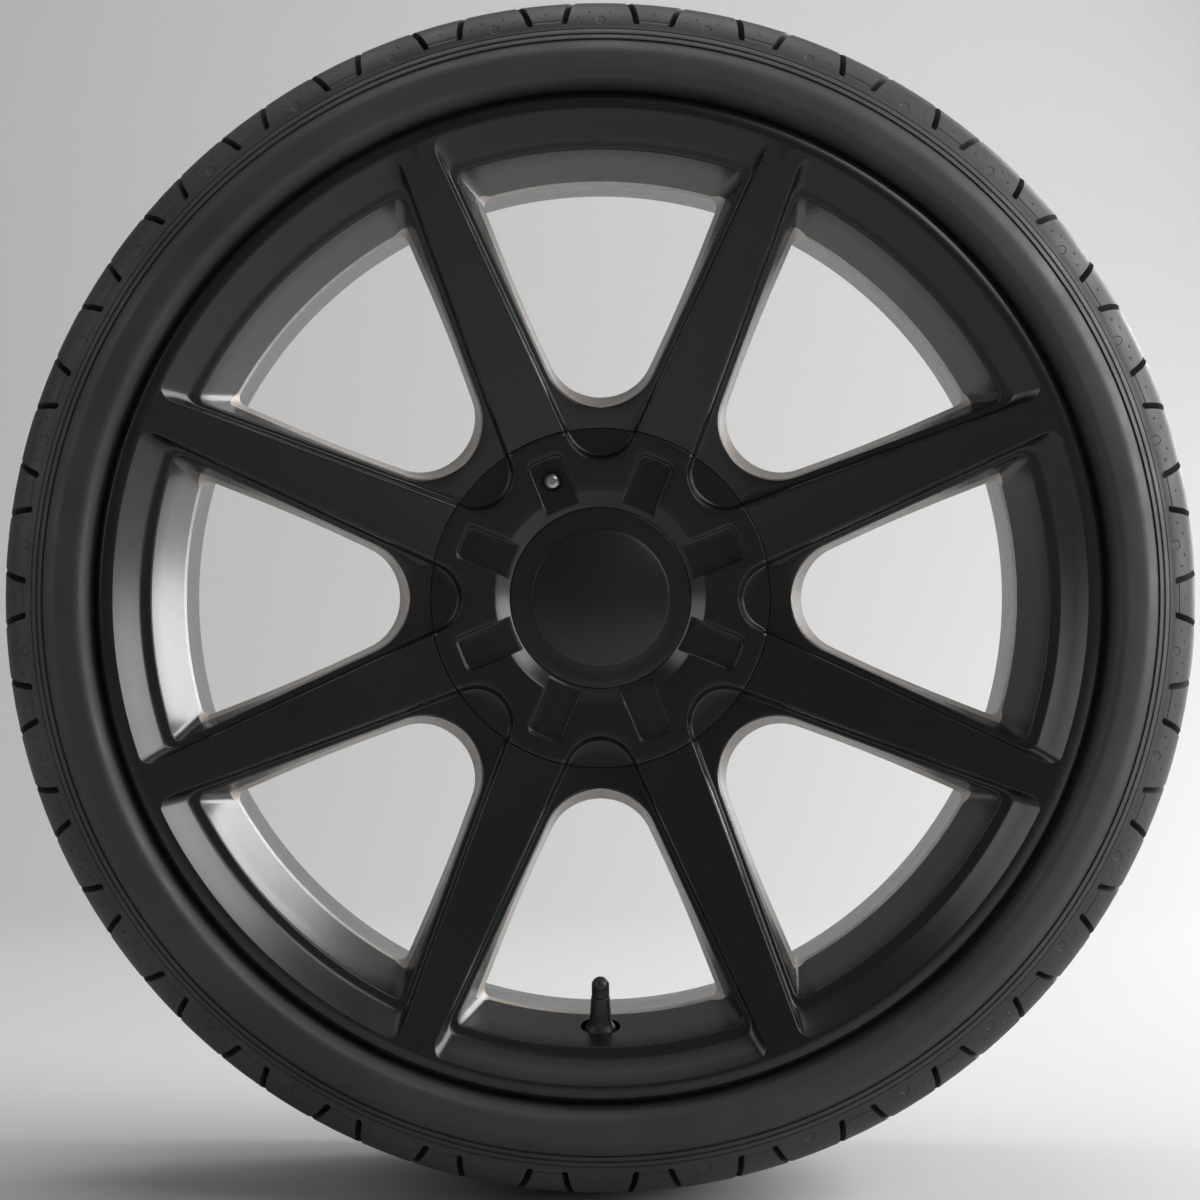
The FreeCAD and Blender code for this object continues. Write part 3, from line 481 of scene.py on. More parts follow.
def buildWheel():
    s = wheelSet
    sector, walls, turns = wheelSector()
    patches = [(copy, True) for copy in spun(sector, s["spokes"])]
    for wall in walls:
        patches += [(copy, False) for copy in spun(wall, s["spokes"])]
    around = np.concatenate([turns + place * 2 * lean for place in range(s["spokes"])])
    patches.append((lathe(rimProfile(), np.unique(np.round(around % (2 * math.pi), 9))), True))
    low = walls[0][1], walls[1][1]
    seatTurns = np.concatenate([np.arctan2(side[:, 0], side[:, 2]) for side in low])
    seatTurns = np.concatenate([seatTurns + place * 2 * lean for place in range(s["spokes"])]) % (2 * math.pi)
    seatRing = [(s["hubR"], s["seatDepth"]), (s["floorR"], s["seatDepth"]), (s["floorR"], s["floorDepth"])]
    patches.append((lathe(seatRing, np.unique(np.round(seatTurns, 6))), True))
    bevel = s["boreBevel"]
    bore = [(s["boreR"], s["floorDepth"]), (s["boreR"], s["padDepth"] - bevel),
            (s["boreR"] + bevel, s["padDepth"])]
    patches.append((lathe(bore, evenTurns(s["boreTurns"])), True))
    bevel = s["boltBevel"]
    hole = lathe([(s["boltR"] + s["boltMouth"], s["floorDepth"]),
                  (s["boltR"], s["floorDepth"] + s["boltSeat"]), (s["boltR"], s["padDepth"] - bevel),
                  (s["boltR"] + bevel, s["padDepth"])], evenTurns(s["boltTurns"]))
    hole[..., 0] += s["boltCircle"]
    patches += [(copy, True) for copy in spun(hole, s["bolts"], -s["boltFirstDeg"])]
    mesh = weldMesh(makeMesh("wheel_casting", patches, wheelPlace), (s["floorDepth"], s["padDepth"]))
    v = valveSet
    spot = [(0, 0), (v["faceR"], 0), (v["faceR"], v["clear"]), (0, v["clear"])]
    cutter = weldMesh(makeMesh("spot_face", [(post(spot, v["faceTurns"]), True)], valvePlace))
    return bored(mesh, cutter)


addPiece("wheel_casting", buildWheel(), mainBody, ["wheel"], alloyPaint)


rubberSet = {
    "dark": (0.018, 0.018, 0.019, 1), "grey": (0.034, 0.034, 0.035, 1), "roughLow": 0.46, "roughHigh": 0.60,
}
grainSet = {"cloud": (14.0, 6.0), "sheen": 40.0, "grain": (900.0, 4.0), "strength": 0.25, "depth": 0.0002}


def rubber(name, dark, grey, roughLow, roughHigh):  # moulded rubber: dull, with clouds and a pitted grain
    s = grainSet
    material, tree, shader = newMaterial(name, {"Specular IOR Level": 0.45})
    colour = tint(tree, ramp(tree, noiseOf(tree, *s["cloud"]), 0, 1), dark, grey)
    tree.links.new(colour, shader.inputs["Base Color"])
    tree.links.new(ramp(tree, noiseOf(tree, s["sheen"]), roughLow, roughHigh), shader.inputs["Roughness"])
    bump(tree, shader, noiseOf(tree, *s["grain"]), s["strength"], s["depth"])
    return material, tree, shader


tyreSet = {
    "crownR": 520.0, "grooves": (21.0, 62.0), "grooveHalf": 4.5, "grooveFloor": 3.0,
    "grooveDepth": 7.5, "grooveRound": 0.6, "shoulder": [(325.99, 104), (321.0, 118.9), (309, 127)],
    "ribs": [(308.9, 0.0), (308.6, -0.45), (308.2, -0.45), (307.9, 1.1), (305.7, 1.1), (305.4, 0.2),
             (304.6, 0.2), (304.3, 1.1), (302.4, 1.1), (302.1, -0.3), (301.6, -0.3), (301.3, 0.0)],
    "ribRound": 0.25, "sideR": 299.0, "lowRounds": [0, 3.0, 2.0, 1.5, 1.5, 1.2, 1.0, 2.0, 1.5, 1.0, 1.5],
    "sideSlope": 0.7778,
    "lower": [(295.5, 137.5), (288.0, 138.5), (283.3, 138.9), (280.2, 137.4), (277.3, 133.5),
              (274.9, 126.83)],
    "bead": [(271.3, 121.6), (264.5, 120.5), (260.7, 120.5), (256.55, 116.3), (255.3, 101.6)],
    "liner": [(262.3, 100.2), (279.0, 122.0), (292.0, 126.5), (302.0, 123.4), (311.0, 102.0), (321.5, 0.0)],
    "pitches": 34, "blockDeg": 5.0, "slotHalf": 1.5, "slantDeg": 14.0, "slotNear": 94.0, "slotFarR": 312.2,
    "crownLow": 315.0, "treadSteps": (72.0, 82.0), "slotTurnR": 320.0, "slotEdge": 0.3,
    "blockShares": (0.5,), "plainShares": (0.25, 0.5, 0.75), "slotSink": 3.0, "slotWall": 0.4, "near": 0.01,
    "arcSteps": 14, "fineSteps": 80, "sipeInset": 0.1,
    "sipeHalf": 0.5, "sipeDepth": 3.0, "sipeStart": 66.5,
}


def crownAt(across):  # radius of the tread at a distance from the middle plane
    return tyreR - tyreSet["crownR"] + np.sqrt(tyreSet["crownR"] ** 2 - np.asarray(across, float) ** 2)


def arcThrough(first, middle, last, count):  # points on the circle through three points
    (ax, ay), (bx, by), (cx, cy) = first, middle, last
    d = 2 * (ax * (by - cy) + bx * (cy - ay) + cx * (ay - by))
    a2, b2, c2 = ax * ax + ay * ay, bx * bx + by * by, cx * cx + cy * cy
    ux = (a2 * (by - cy) + b2 * (cy - ay) + c2 * (ay - by)) / d
    uy = (a2 * (cx - bx) + b2 * (ax - cx) + c2 * (bx - ax)) / d
    radius = math.hypot(ax - ux, ay - uy)
    turns = np.linspace(math.atan2(ay - uy, ax - ux), math.atan2(cy - uy, cx - ux), count)
    return [(ux + radius * math.cos(turn), uy + radius * math.sin(turn)) for turn in turns]


def tyreHalf():
    # outside of half the tyre from the middle of the tread to the bead's toe, as (radius, distance across)
    s = tyreSet
    points, rounds = [(crownAt(0), 0.0)], []
    for centre in s["grooves"]:
        for across, sink in ((-s["grooveHalf"], 0), (-s["grooveFloor"], s["grooveDepth"]),
                             (s["grooveFloor"], s["grooveDepth"]), (s["grooveHalf"], 0)):
            points.append((crownAt(centre + across) - sink, centre + across))
            rounds.append(s["grooveRound"])
    for across in (*s["treadSteps"], s["slotNear"] - s["slotWall"], s["slotNear"]):
        points.append((crownAt(across), across))
        rounds.append(0)
    fine = np.array(arcThrough(*s["shoulder"], s["fineSteps"]))
    stops = [(radius, float(np.interp(-radius, -fine[:, 0], fine[:, 1])))
             for radius in (s["slotFarR"], s["slotFarR"] - s["slotWall"])]
    shoulder = sorted(arcThrough(*s["shoulder"], s["arcSteps"]) + stops, reverse=True)
    points += shoulder
    rounds += [0] * len(shoulder)
    top = s["shoulder"][-1]
    for radius, proud in s["ribs"]:
        points.append((radius, top[1] + s["sideSlope"] * (top[0] - radius) + proud))
        rounds.append(s["ribRound"])
    points += [(s["sideR"], top[1] + s["sideSlope"] * (top[0] - s["sideR"]))] + s["lower"] + s["bead"]
    rounds += s["lowRounds"]
    return roundedProfile(points, rounds[:len(points) - 2], [1] * (len(points) - 1), 2)


def tyreGrid():
    # The closed section is carried round the axle. In each pitch two slanted slots follow their own columns:
    # in the shoulder their floor runs below the straight line between their ends, and a sipe runs on inwards.
    s = tyreSet
    half = tyreHalf()
    liner = s["liner"]
    section = np.concatenate([half[::-1] * (1, -1), half[1:], np.array(liner),
                              np.array([(radius, -across) for radius, across in reversed(liner[:-1])])])
    outside = len(half) * 2 - 1
    radius, across = section[:, :1], section[:, 1:]
    far = np.abs(across)
    ends = np.array([(float(crownAt(s["slotNear"])), s["slotNear"]), (s["slotFarR"], 0.0)])
    shoulder = np.array(arcThrough(*s["shoulder"], s["fineSteps"]))
    ends[1, 1] = np.interp(-s["slotFarR"], -shoulder[:, 0], shoulder[:, 1])
    isOutside = (np.arange(len(section)) < outside)[:, None]
    inSlot = isOutside & (far > s["slotNear"] - s["near"]) & (radius > s["slotFarR"] - s["near"])
    inSipe = (isOutside & (far > s["sipeStart"] + s["sipeInset"]) & (far < s["slotNear"] - s["near"])
              & (radius > s["crownLow"]))
    run = ends[1] - ends[0]
    length = np.linalg.norm(run)
    along = np.clip(((radius - ends[0, 0]) * run[0] + (far - ends[0, 1]) * run[1]) / length, 0, length)
    halfWidth = np.where(inSlot, s["slotHalf"], s["sipeHalf"])
    pitch = 2 * math.pi / s["pitches"]
    offsets, sinks = [], []
    for side in (-1, 1):
        centre = side * (math.radians(s["blockDeg"]) / 2 + math.tan(math.radians(s["slantDeg"])) *
                         (length / 2 - along) / s["slotTurnR"])
        for place, sink in ((-1, 0), (-1, 1), (1, 1), (1, 0)):
            offsets.append(centre + place * (halfWidth + s["slotEdge"] * (1 - sink)) / s["slotTurnR"])
            sinks.append(sink)
    block = [offsets[3] + (offsets[4] - offsets[3]) * share for share in s["blockShares"]]
    nextSlot = offsets[0] + pitch
    stretch = [offsets[7] + (nextSlot - offsets[7]) * share for share in s["plainShares"]]
    columns = np.concatenate(offsets[:4] + block + offsets[4:] + stretch, 1)
    sink = np.array(sinks[:4] + [0] * len(block) + sinks[4:] + [0] * len(stretch))
    slotR = ends[0, 0] + run[0] * along / length - s["slotSink"] * run[1] / length
    slotAcross = ends[0, 1] + run[1] * along / length + s["slotSink"] * run[0] / length
    fullR = np.where(inSlot & (sink > 0), np.minimum(slotR, radius), radius + 0 * sink)
    fullAcross = np.where(inSlot & (sink > 0), np.sign(across) * slotAcross, across + 0 * sink)
    fullR = np.where(inSipe & (sink > 0), radius - s["sipeDepth"], fullR)
    angles = np.concatenate([columns + place * pitch for place in range(s["pitches"])], 1)
    fullR, fullAcross = np.tile(fullR, s["pitches"]), np.tile(fullAcross, s["pitches"])
    grid = np.stack([fullR * np.cos(angles), fullAcross, fullR * np.sin(angles)], -1) * mm
    return grid, angles / pitch, np.where(isOutside, radius, 0) + 0 * angles


def buildTyre():
    # besides the mesh, a UV map: place round the tyre in pitches, and radius in millimetres on the outside
    grid, phase, height = tyreGrid()
    rows, columns = grid.shape[:2]
    mesh = bpy.data.meshes.new("tyre_rubber")
    faces = gridFaces(rows, columns, True, 0, True)
    mesh.from_pydata(grid.reshape(-1, 3).tolist(), [], faces.tolist())
    column = faces % columns
    atSeam = (column == 0) & (column.max(1) == columns - 1)[:, None]
    across = phase.ravel()[faces] + tyreSet["pitches"] * atSeam
    layer = mesh.uv_layers.new(name="pitches")
    layer.data.foreach_set("uv", np.stack([across, height.ravel()[faces]], -1).ravel())
    shape = bmesh.new()
    shape.from_mesh(mesh)
    if shape.calc_volume(signed=True) < 0:
        bmesh.ops.reverse_faces(shape, faces=shape.faces)
    shape.to_mesh(mesh)
    shape.free()
    return mesh


markSet = {  # marks on the shoulder: radius on the tyre, place in pitches, size in millimetres
    "grooveR": 313.6, "grooveHalf": 0.55, "grooveSpan": 0.20, "dimpleR": 313.5, "dimpleSize": 2.4,
    "pips": ((0.30, 316.0), (0.40, 318.5), (0.0, 318.0)), "pipSize": 0.55, "pitchLength": 57.6, "soft": 0.25,
    "depth": 0.0009, "strength": 0.9,
}


def shoulderMarks(tree, shader):
    # The height falls to -1 in a thin groove that joins the slots' ends and in one round dimple a pitch, and
    # rises to 1 on a few small pips; each edge is a short ramp.
    s = markSet

    def sums(operation, *values):
        made = addNode(tree, "ShaderNodeMath", dict(enumerate(values)), operation=operation)
        return made.outputs["Value"]

    def inside(distance, size):  # 1 inside, 0 outside
        return addNode(tree, "ShaderNodeMapRange", {"Value": distance, "From Min": size - s["soft"],
                                                    "From Max": size + s["soft"], "To Min": 1.0,
                                                    "To Max": 0.0}).outputs["Result"]

    place = addNode(tree, "ShaderNodeUVMap", uv_map="pitches").outputs["UV"]
    parts = addNode(tree, "ShaderNodeSeparateXYZ", {"Vector": place})
    turn, radius = parts.outputs["X"], parts.outputs["Y"]
    share = sums("FRACT", sums("ADD", turn, 0.5))
    off = sums("ABSOLUTE", sums("SUBTRACT", share, 0.5))  # from the block's middle, in pitches
    line = inside(sums("ABSOLUTE", sums("SUBTRACT", radius, s["grooveR"])), s["grooveHalf"])
    groove = sums("MULTIPLY", line, sums("LESS_THAN", off, s["grooveSpan"]))

    def spot(pitchPlace, atRadius, size):
        along = sums("MULTIPLY", sums("SUBTRACT", off, pitchPlace), s["pitchLength"])
        up = sums("SUBTRACT", radius, atRadius)
        squares = sums("ADD", sums("MULTIPLY", along, along), sums("MULTIPLY", up, up))
        return inside(sums("SQRT", squares), size)

    height = sums("MULTIPLY", sums("MAXIMUM", groove, spot(0.5, s["dimpleR"], s["dimpleSize"])), -1.0)
    for pitchPlace, atRadius in s["pips"]:
        height = sums("ADD", height, spot(pitchPlace, atRadius, s["pipSize"]))
    bump(tree, shader, height, s["strength"], s["depth"], shader.inputs["Normal"].links[0].from_socket)


tyrePaint, tyreTree, tyreShader = rubber("tyre_rubber", **rubberSet)
shoulderMarks(tyreTree, tyreShader)
addPiece("tyre_moulding", buildTyre(), mainBody, ["tyre"], tyrePaint, sharpDeg=30.0)


coverSet = {
    "spokes": 8, "edgeR": 93.8, "edgeDepth": 38.4, "wellR": 58.6, "wellDepth": 40.6, "seatR": 50.4,
    "seatTop": 46.5, "seatDepth": 49.6, "holeR": 45.0, "back": 54.0, "relief": 50.8, "skirt": 6.0,
    "reliefDraft": 1.5,
    "padHalf": 10.0, "padEnd": 83.0, "padCorner": 4.0, "padDepth": 45.0, "valleyDepth": 47.0,
    "valleyHalf": 9.4, "valleyDraft": 0.19, "valleyTip": 64.48, "valleyTipDraft": 0.30, "sideShare": 0.6,
    "padSpine": (82.0, 76.0, 71.0), "topRound": 0.8, "edgeRound": 0.7, "footRound": 1.3, "valleyFoot": 1.8,
    "steps": (5, 7, 14, 11), "rowSpans": (2, 2, 4, 2, 2), "arcRows": 3, "edgeSteps": 6, "fade": 2.0,
    "screwR": 70.0, "screwDeg": 112.5, "boreR": 6.6, "boreTop": 44.0, "boreDepth": 49.0, "boreTurns": 48,
}


def plateauDepth(radius):  # the cover's front falls a little from its edge to the well in its middle
    s = coverSet
    share = (radius - s["wellR"]) / (s["edgeR"] - s["wellR"])
    return s["wellDepth"] + (s["edgeDepth"] - s["wellDepth"]) * share


def valleyEdge(share, depth):
    # Edge of the valley at a depth, in shares of its length from the cover's rim to the middle of its end:
    # a line beside the spoke's centre line, then an arc that ends on the line between two spokes.
    s = coverSet
    half = s["valleyHalf"] + s["valleyDraft"] * depth
    tip = s["valleyTip"] + s["valleyTipDraft"] * depth
    endR = (tip - half / math.sin(lean)) / (1 / math.sin(lean) - 1)
    top, low = np.sqrt(s["edgeR"] ** 2 - half ** 2), (tip + endR) * math.cos(lean)
    sweep = math.pi / 2 - lean
    straight = (top - low) / (top - low + endR * sweep)
    line = np.clip(share / straight, 0, 1)
    turn = sweep * np.clip((share - straight) / (1 - straight), 0, 1)
    return half + endR * (1 - np.cos(turn)), top + (low - top) * line - endR * np.sin(turn)


def onCircle(radius, turn, depth):
    return np.stack([radius * np.sin(turn), depth + 0 * turn, radius * np.cos(turn)], -1)


def coverSector():
    # Half of one spoke's share of the cover, from the pad's middle to the valley's middle. Columns follow the
    # pad's end, corner and side, then the well's edge; rows run from the pad's floor up and out to the rim.
    s = coverSet
    nEnd, nCorner, nSide, nWell = s["steps"]
    flat = s["padHalf"] - s["padCorner"]
    turn = np.linspace(0, math.pi / 2, nCorner + 1)[1:]
    wellTurn = math.asin(s["padHalf"] / s["wellR"])
    coneSlope = (s["seatTop"] - s["wellDepth"]) / (s["wellR"] - s["seatR"])
    floorR = s["wellR"] - (s["padDepth"] - s["wellDepth"]) / coneSlope
    floorTurn = math.asin(s["padHalf"] / floorR)
    sideTop = s["padEnd"] - s["padCorner"]
    x = np.concatenate([np.linspace(0, flat, nEnd), flat + s["padCorner"] * np.sin(turn),
                        np.full(nSide, s["padHalf"])])
    upper = np.concatenate([np.full(nEnd, s["padEnd"]), sideTop + s["padCorner"] * np.cos(turn),
                            np.linspace(sideTop, s["wellR"] * math.cos(wellTurn), nSide)])
    lower = np.concatenate([upper[:-nSide], np.linspace(sideTop, floorR * math.cos(floorTurn), nSide)])
    spine = np.concatenate([np.linspace(*s["padSpine"][:2], nEnd),
                            np.linspace(*s["padSpine"][1:], nCorner + 1)[1:],
                            np.linspace(s["padSpine"][2], floorR, nSide)])
    pad = [np.stack([0 * x, 0 * x + s["padDepth"], spine], -1),
           np.stack([x, 0 * x + s["padDepth"], lower], -1),
           np.stack([x, plateauDepth(np.hypot(x, upper)), upper], -1)]
    wells = np.linspace(0, 1, nWell)
    low, high = floorTurn + (lean - floorTurn) * wells, wellTurn + (lean - wellTurn) * wells
    well = [onCircle(s["seatR"], low, s["seatTop"]), onCircle(floorR, low, s["padDepth"]),
            onCircle(s["wellR"], high, s["wellDepth"])]
    inner = [np.concatenate(pair) for pair in zip(pad, well)]

    nRim = nEnd + nCorner
    crossing = math.asin((s["valleyHalf"] + s["valleyDraft"] * s["edgeDepth"]) / s["edgeR"])
    rimTurn = np.linspace(0, crossing, nRim)
    share = np.concatenate([np.linspace(0, s["sideShare"], nSide), np.linspace(s["sideShare"], 1, nWell)])
    edgeX, edgeZ = valleyEdge(share, np.full(len(share), s["edgeDepth"]))
    for step in range(s["edgeSteps"]):
        edgeX, edgeZ = valleyEdge(share, plateauDepth(np.hypot(edgeX, edgeZ)))
    footX, footZ = valleyEdge(share, np.full(len(share), s["valleyDepth"]))
    footTurn = np.arctan2(footX, footZ)
    floorEnd = footTurn[0] + (lean - footTurn[0]) * share
    outer = [
        np.concatenate([onCircle(s["edgeR"], rimTurn, s["edgeDepth"]),
                        np.stack([edgeX, plateauDepth(np.hypot(edgeX, edgeZ)), edgeZ], -1)]),
        np.concatenate([onCircle(s["edgeR"], rimTurn, s["valleyDepth"]),
                        np.stack([footX, 0 * footX + s["valleyDepth"], footZ], -1)]),
        np.concatenate([onCircle(s["edgeR"], rimTurn, s["back"]),
                        onCircle(s["edgeR"], floorEnd, s["valleyDepth"])])]
    count = nRim + nSide + nWell
    column = np.arange(count)
    fromCorner = np.minimum(np.abs(column - nRim + 1), np.abs(column - nRim))
    corner = np.clip(fromCorner / s["fade"], 0, 1)  # a round fades out at a corner
    padEnd = np.clip((nRim + nSide - 1 - column) / s["fade"], 0, 1)
    rounds = [(s["footRound"] * padEnd)[:, None], s["topRound"], (s["edgeRound"] * corner)[:, None],
              (s["valleyFoot"] * corner)[:, None]]
    spans = s["rowSpans"]
    grid = roundedRows(inner + outer, rounds, spans, s["arcRows"])
    upTo = 1 + spans[0] + s["arcRows"]  # rows of the pad's floor and the foot of its wall
    floorLine = grid[:upTo, nRim + nSide - 1]
    seatTurn = np.arctan2(floorLine[:, 0], floorLine[:, 2])
    strips = [np.stack([floorLine, onCircle(s["seatR"], seatTurn, s["seatTop"])])]
    drop = grid[upTo + spans[1] + s["arcRows"] + spans[2]:, nRim]  # the valley's corner at the rim
    brink = np.concatenate([drop, grid[-1, nRim + 1:]])
    strips.append(np.stack([brink, onCircle(s["edgeR"], np.arctan2(brink[:, 0], brink[:, 2]), s["back"])]))
    rimAngles = np.concatenate([rimTurn, np.arctan2(brink[:, 0], brink[:, 2])])
    seatAngles = np.concatenate([seatTurn, low])
    parts = [grid[:, :nRim], grid[:, nRim:nRim + nSide], grid[:, nRim + nSide:]]
    return parts + strips, rimAngles, seatAngles


def allRound(angles, count, firstDeg):  # the same angles and their mirror images, in "count" even places
    both = np.concatenate([angles, -angles])
    every = np.concatenate([both + turn for turn in np.radians(firstDeg + np.arange(count) * 360.0 / count)])
    return np.unique(np.round(every % (2 * math.pi), 6))


def buildCover():
    s = coverSet
    firstDeg = 180.0 / s["spokes"]
    grids, rimAngles, seatAngles = coverSector()
    patches = []
    for grid in grids:
        mirror = grid.copy()
        mirror[..., 0] *= -1
        patches += [(copy, False) for half in (grid, mirror) for copy in spun(half, s["spokes"], firstDeg)]
    skirtR = s["edgeR"] - s["skirt"]
    outside = [(s["edgeR"], s["back"]), (skirtR, s["back"]), (skirtR - s["reliefDraft"], s["relief"]),
               (s["wellR"] + 2 * s["reliefDraft"], s["relief"]), (s["wellR"] + s["reliefDraft"], s["back"])]
    inside = [(s["seatR"], s["seatTop"]), (s["seatR"], s["seatDepth"]),
              (s["holeR"], s["seatDepth"]), (s["holeR"], s["back"])]
    patches.append((lathe(outside, allRound(rimAngles, s["spokes"], firstDeg)), True))
    patches.append((lathe(inside, allRound(seatAngles, s["spokes"], firstDeg)), True))
    mesh = weldMesh(makeMesh("bolt_cover", patches, wheelPlace), (s["back"],))
    bore = lathe([(0, s["boreTop"]), (s["boreR"], s["boreTop"]), (s["boreR"], s["boreDepth"]),
                  (0, s["boreDepth"])], evenTurns(s["boreTurns"]))
    bore[..., 2] += s["screwR"]
    placed = spun(bore, 1, 90.0 - s["screwDeg"])[0]
    return bored(mesh, weldMesh(makeMesh("screw_bore", [(placed, True)], wheelPlace)))


addPiece("bolt_cover_moulding", buildCover(), mainBody, ["bolt_cover"], coverPaint)


capSet = {
    "domeR": 38.2, "domeTop": 41.6, "domeEdge": 45.8, "face": 46.8, "rimR": 50.1, "seat": 49.6, "skin": 2.4,
    "legs": 6, "legSpanDeg": 30.0, "legIn": 41.2, "legOut": 43.8, "legTop": 48.2, "hook": 54.3, "barb": 45.8,
    "barbEnd": 56.7, "legEnd": 57.0, "legSteps": 8, "turns": 192, "round": 0.7, "edgeRun": 2.0,
    "edgeRise": 0.42, "edgeGap": 2.2, "insideRise": 0.2, "rimRounds": (0.35, 0.3), "seatRound": 0.3,
    "domeSteps": 24, "insideSteps": 10,
}


def domeLine(radius, top, edge, count):  # sphere cap as (radius, depth) points from the axle to the edge
    rise = edge - top
    sphere = (radius ** 2 + rise ** 2) / (2 * rise)
    reach = np.linspace(0, radius, count)
    return np.stack([reach, top + sphere - np.sqrt(sphere ** 2 - reach ** 2)], -1)


def buildCap():
    s = capSet
    inR = s["domeR"] - s["skin"]
    insideEdge = s["domeEdge"] + s["skin"] - s["insideRise"]
    rim = roundedProfile([(s["domeR"] - s["edgeRun"], s["domeEdge"] - s["edgeRise"]),
                          (s["domeR"], s["domeEdge"]), (s["domeR"], s["face"]), (s["rimR"], s["face"]),
                          (s["rimR"], s["seat"]), (inR, s["seat"]), (inR, insideEdge)],
                         [*s["rimRounds"], s["round"], s["seatRound"], 0], [1, 1, 2, 2, 1, 1])
    outside = domeLine(s["domeR"], s["domeTop"], s["domeEdge"], s["domeSteps"])
    inside = domeLine(inR, s["domeTop"] + s["skin"], insideEdge, s["insideSteps"])
    profile = np.concatenate([outside[outside[:, 0] < s["domeR"] - s["edgeGap"]], rim, inside[-2::-1]])
    patches = [(lathe(profile, evenTurns(s["turns"])), True)]
    outer = [(s["legOut"], s["legTop"]), (s["legOut"], s["hook"]), (s["barb"], s["hook"]),
             (s["legOut"], s["barbEnd"]), (s["legOut"], s["legEnd"])]
    inner = [(s["legIn"], depth) for radius, depth in outer]
    angles = np.radians(90.0 - np.linspace(0, s["legSpanDeg"], s["legSteps"] + 1))
    leg = lathe(outer + inner[::-1], angles).transpose(1, 0, 2)
    patches += [(copy, True) for copy in spun(leg, s["legs"])]
    for place in (0, -1):  # the leg's two end faces
        end = np.stack([lathe(line, angles[[place]])[:, 0] for line in (outer, inner)])
        patches += [(copy, False) for copy in spun(end, s["legs"])]
    return weldMesh(makeMesh("centre_cap", patches, wheelPlace))


addPiece("centre_cap_dome", buildCap(), mainBody, ["centre_cap"], capPaint)


valveLook = {
    "body": [(2.7, -10.5), (5.9, -10.5), (7.9, -6.1), (7.9, -4.65), (5.65, -4.65), (5.65, 0.1), (9.3, 0.1),
             (9.3, 1.9), (8.3, 4.6), (6.5, 7.4), (5.85, 11.0), (5.2, 22.9), (4.9, 23.5), (2.7, 23.5),
             (2.7, -10.5)],
    "bodyRounds": [0.6, 0.5, 0.5, 0.3, 0.2, 0.3, 1.0, 1.2, 1.2, 2.0, 0.3, 0.2, 0],
    "stemLow": [(3.4, 30.0), (2.05, 30.0), (2.05, 18.0), (1.6, 18.0), (1.6, -9.0), (2.65, -9.0),
                (2.65, 23.55), (3.5, 23.55)],
    "threadRoot": 3.5, "threadTop": 3.82, "threadFrom": 23.7, "threadTo": 29.6, "pitch": 0.79375,
    "perPitch": 8, "capShoulder": 30.6, "capBevel": 0.25, "inset": 0.1,
    "capOut": 4.85, "capIn": 4.0, "capFoot": 24.2, "capCeiling": 31.2, "capEnd": 35.0, "capRound": 3.7,
    "ribs": 30, "ribDepth": 0.13, "ribFrom": 25.0, "ribTo": 29.6, "turns": 72, "capTurns": 240,
    "endSteps": 14,
}


def buildValveBody():  # bell-shaped rubber with a head on the tyre's side of the rim
    s = valveLook
    profile = roundedProfile(s["body"], s["bodyRounds"], [1] * (len(s["body"]) - 1), 4)
    return weldMesh(makeMesh("valve_body", [(post(profile, s["turns"]), True)], valvePlace))


def buildStem():  # tube whose end has a triangular thread: the radius follows height less turn, in pitches
    s = valveLook
    angles = evenTurns(s["turns"])
    rows = int(round((s["threadTo"] - s["threadFrom"]) / s["pitch"] * s["perPitch"])) + 1
    height = np.linspace(s["threadFrom"], s["threadTo"], rows)[:, None]
    wave = np.abs(((height / s["pitch"] - angles / (2 * math.pi)) % 1.0) * 2 - 1)
    fade = np.clip(np.minimum(height - s["threadFrom"], s["threadTo"] - height) / s["pitch"], 0, 1)
    radius = s["threadRoot"] + (s["threadTop"] - s["threadRoot"]) * wave * fade
    thread = np.stack([radius * np.sin(angles), height + 0 * angles, radius * np.cos(angles)], -1)
    grid = np.concatenate([lathe(s["stemLow"], angles), thread, lathe(s["stemLow"][:1], angles)])
    return weldMesh(makeMesh("valve_stem", [(grid, True)], valvePlace), weld=0.0005)


def buildDustCap():  # round-ended cap with fine grip ribs, where the radius dips by a cosine of the turn
    s = valveLook
    angles = evenTurns(s["capTurns"])
    end = domeLine(s["capOut"], -s["capEnd"], s["capRound"] - s["capEnd"], s["endSteps"]) * (1, -1)
    bevel = s["capBevel"]
    skirt = [(s["capOut"], height) for height in
             (s["capShoulder"], s["ribTo"] + bevel, s["ribTo"], s["ribFrom"], s["ribFrom"] - bevel,
              s["capFoot"] + bevel)]
    under = [(s["capOut"] - bevel, s["capFoot"]), (s["capIn"], s["capFoot"]), (s["capIn"], s["capCeiling"]),
             (0, s["capCeiling"])]
    profile = np.concatenate([end, np.array(skirt), np.array(under)])
    grid = lathe(profile, angles)
    inBand = (profile[:, 1] >= s["ribFrom"]) & (profile[:, 1] <= s["ribTo"])
    inRibs = (inBand & (profile[:, 0] > s["capIn"] + s["inset"]))[:, None]
    dip = s["ribDepth"] * (0.5 - 0.5 * np.cos(angles * s["ribs"])) * inRibs
    grid[..., 0] -= dip * np.sin(angles)
    grid[..., 2] -= dip * np.cos(angles)
    return weldMesh(makeMesh("valve_cap", [(grid, True)], valvePlace), weld=0.001)


metalSet = {
    "shade": 0.72, "stainScale": 300.0, "rough": (-0.08, 0.1), "detail": 4.0, "strength": 0.15,
    "depth": 0.00003,
}


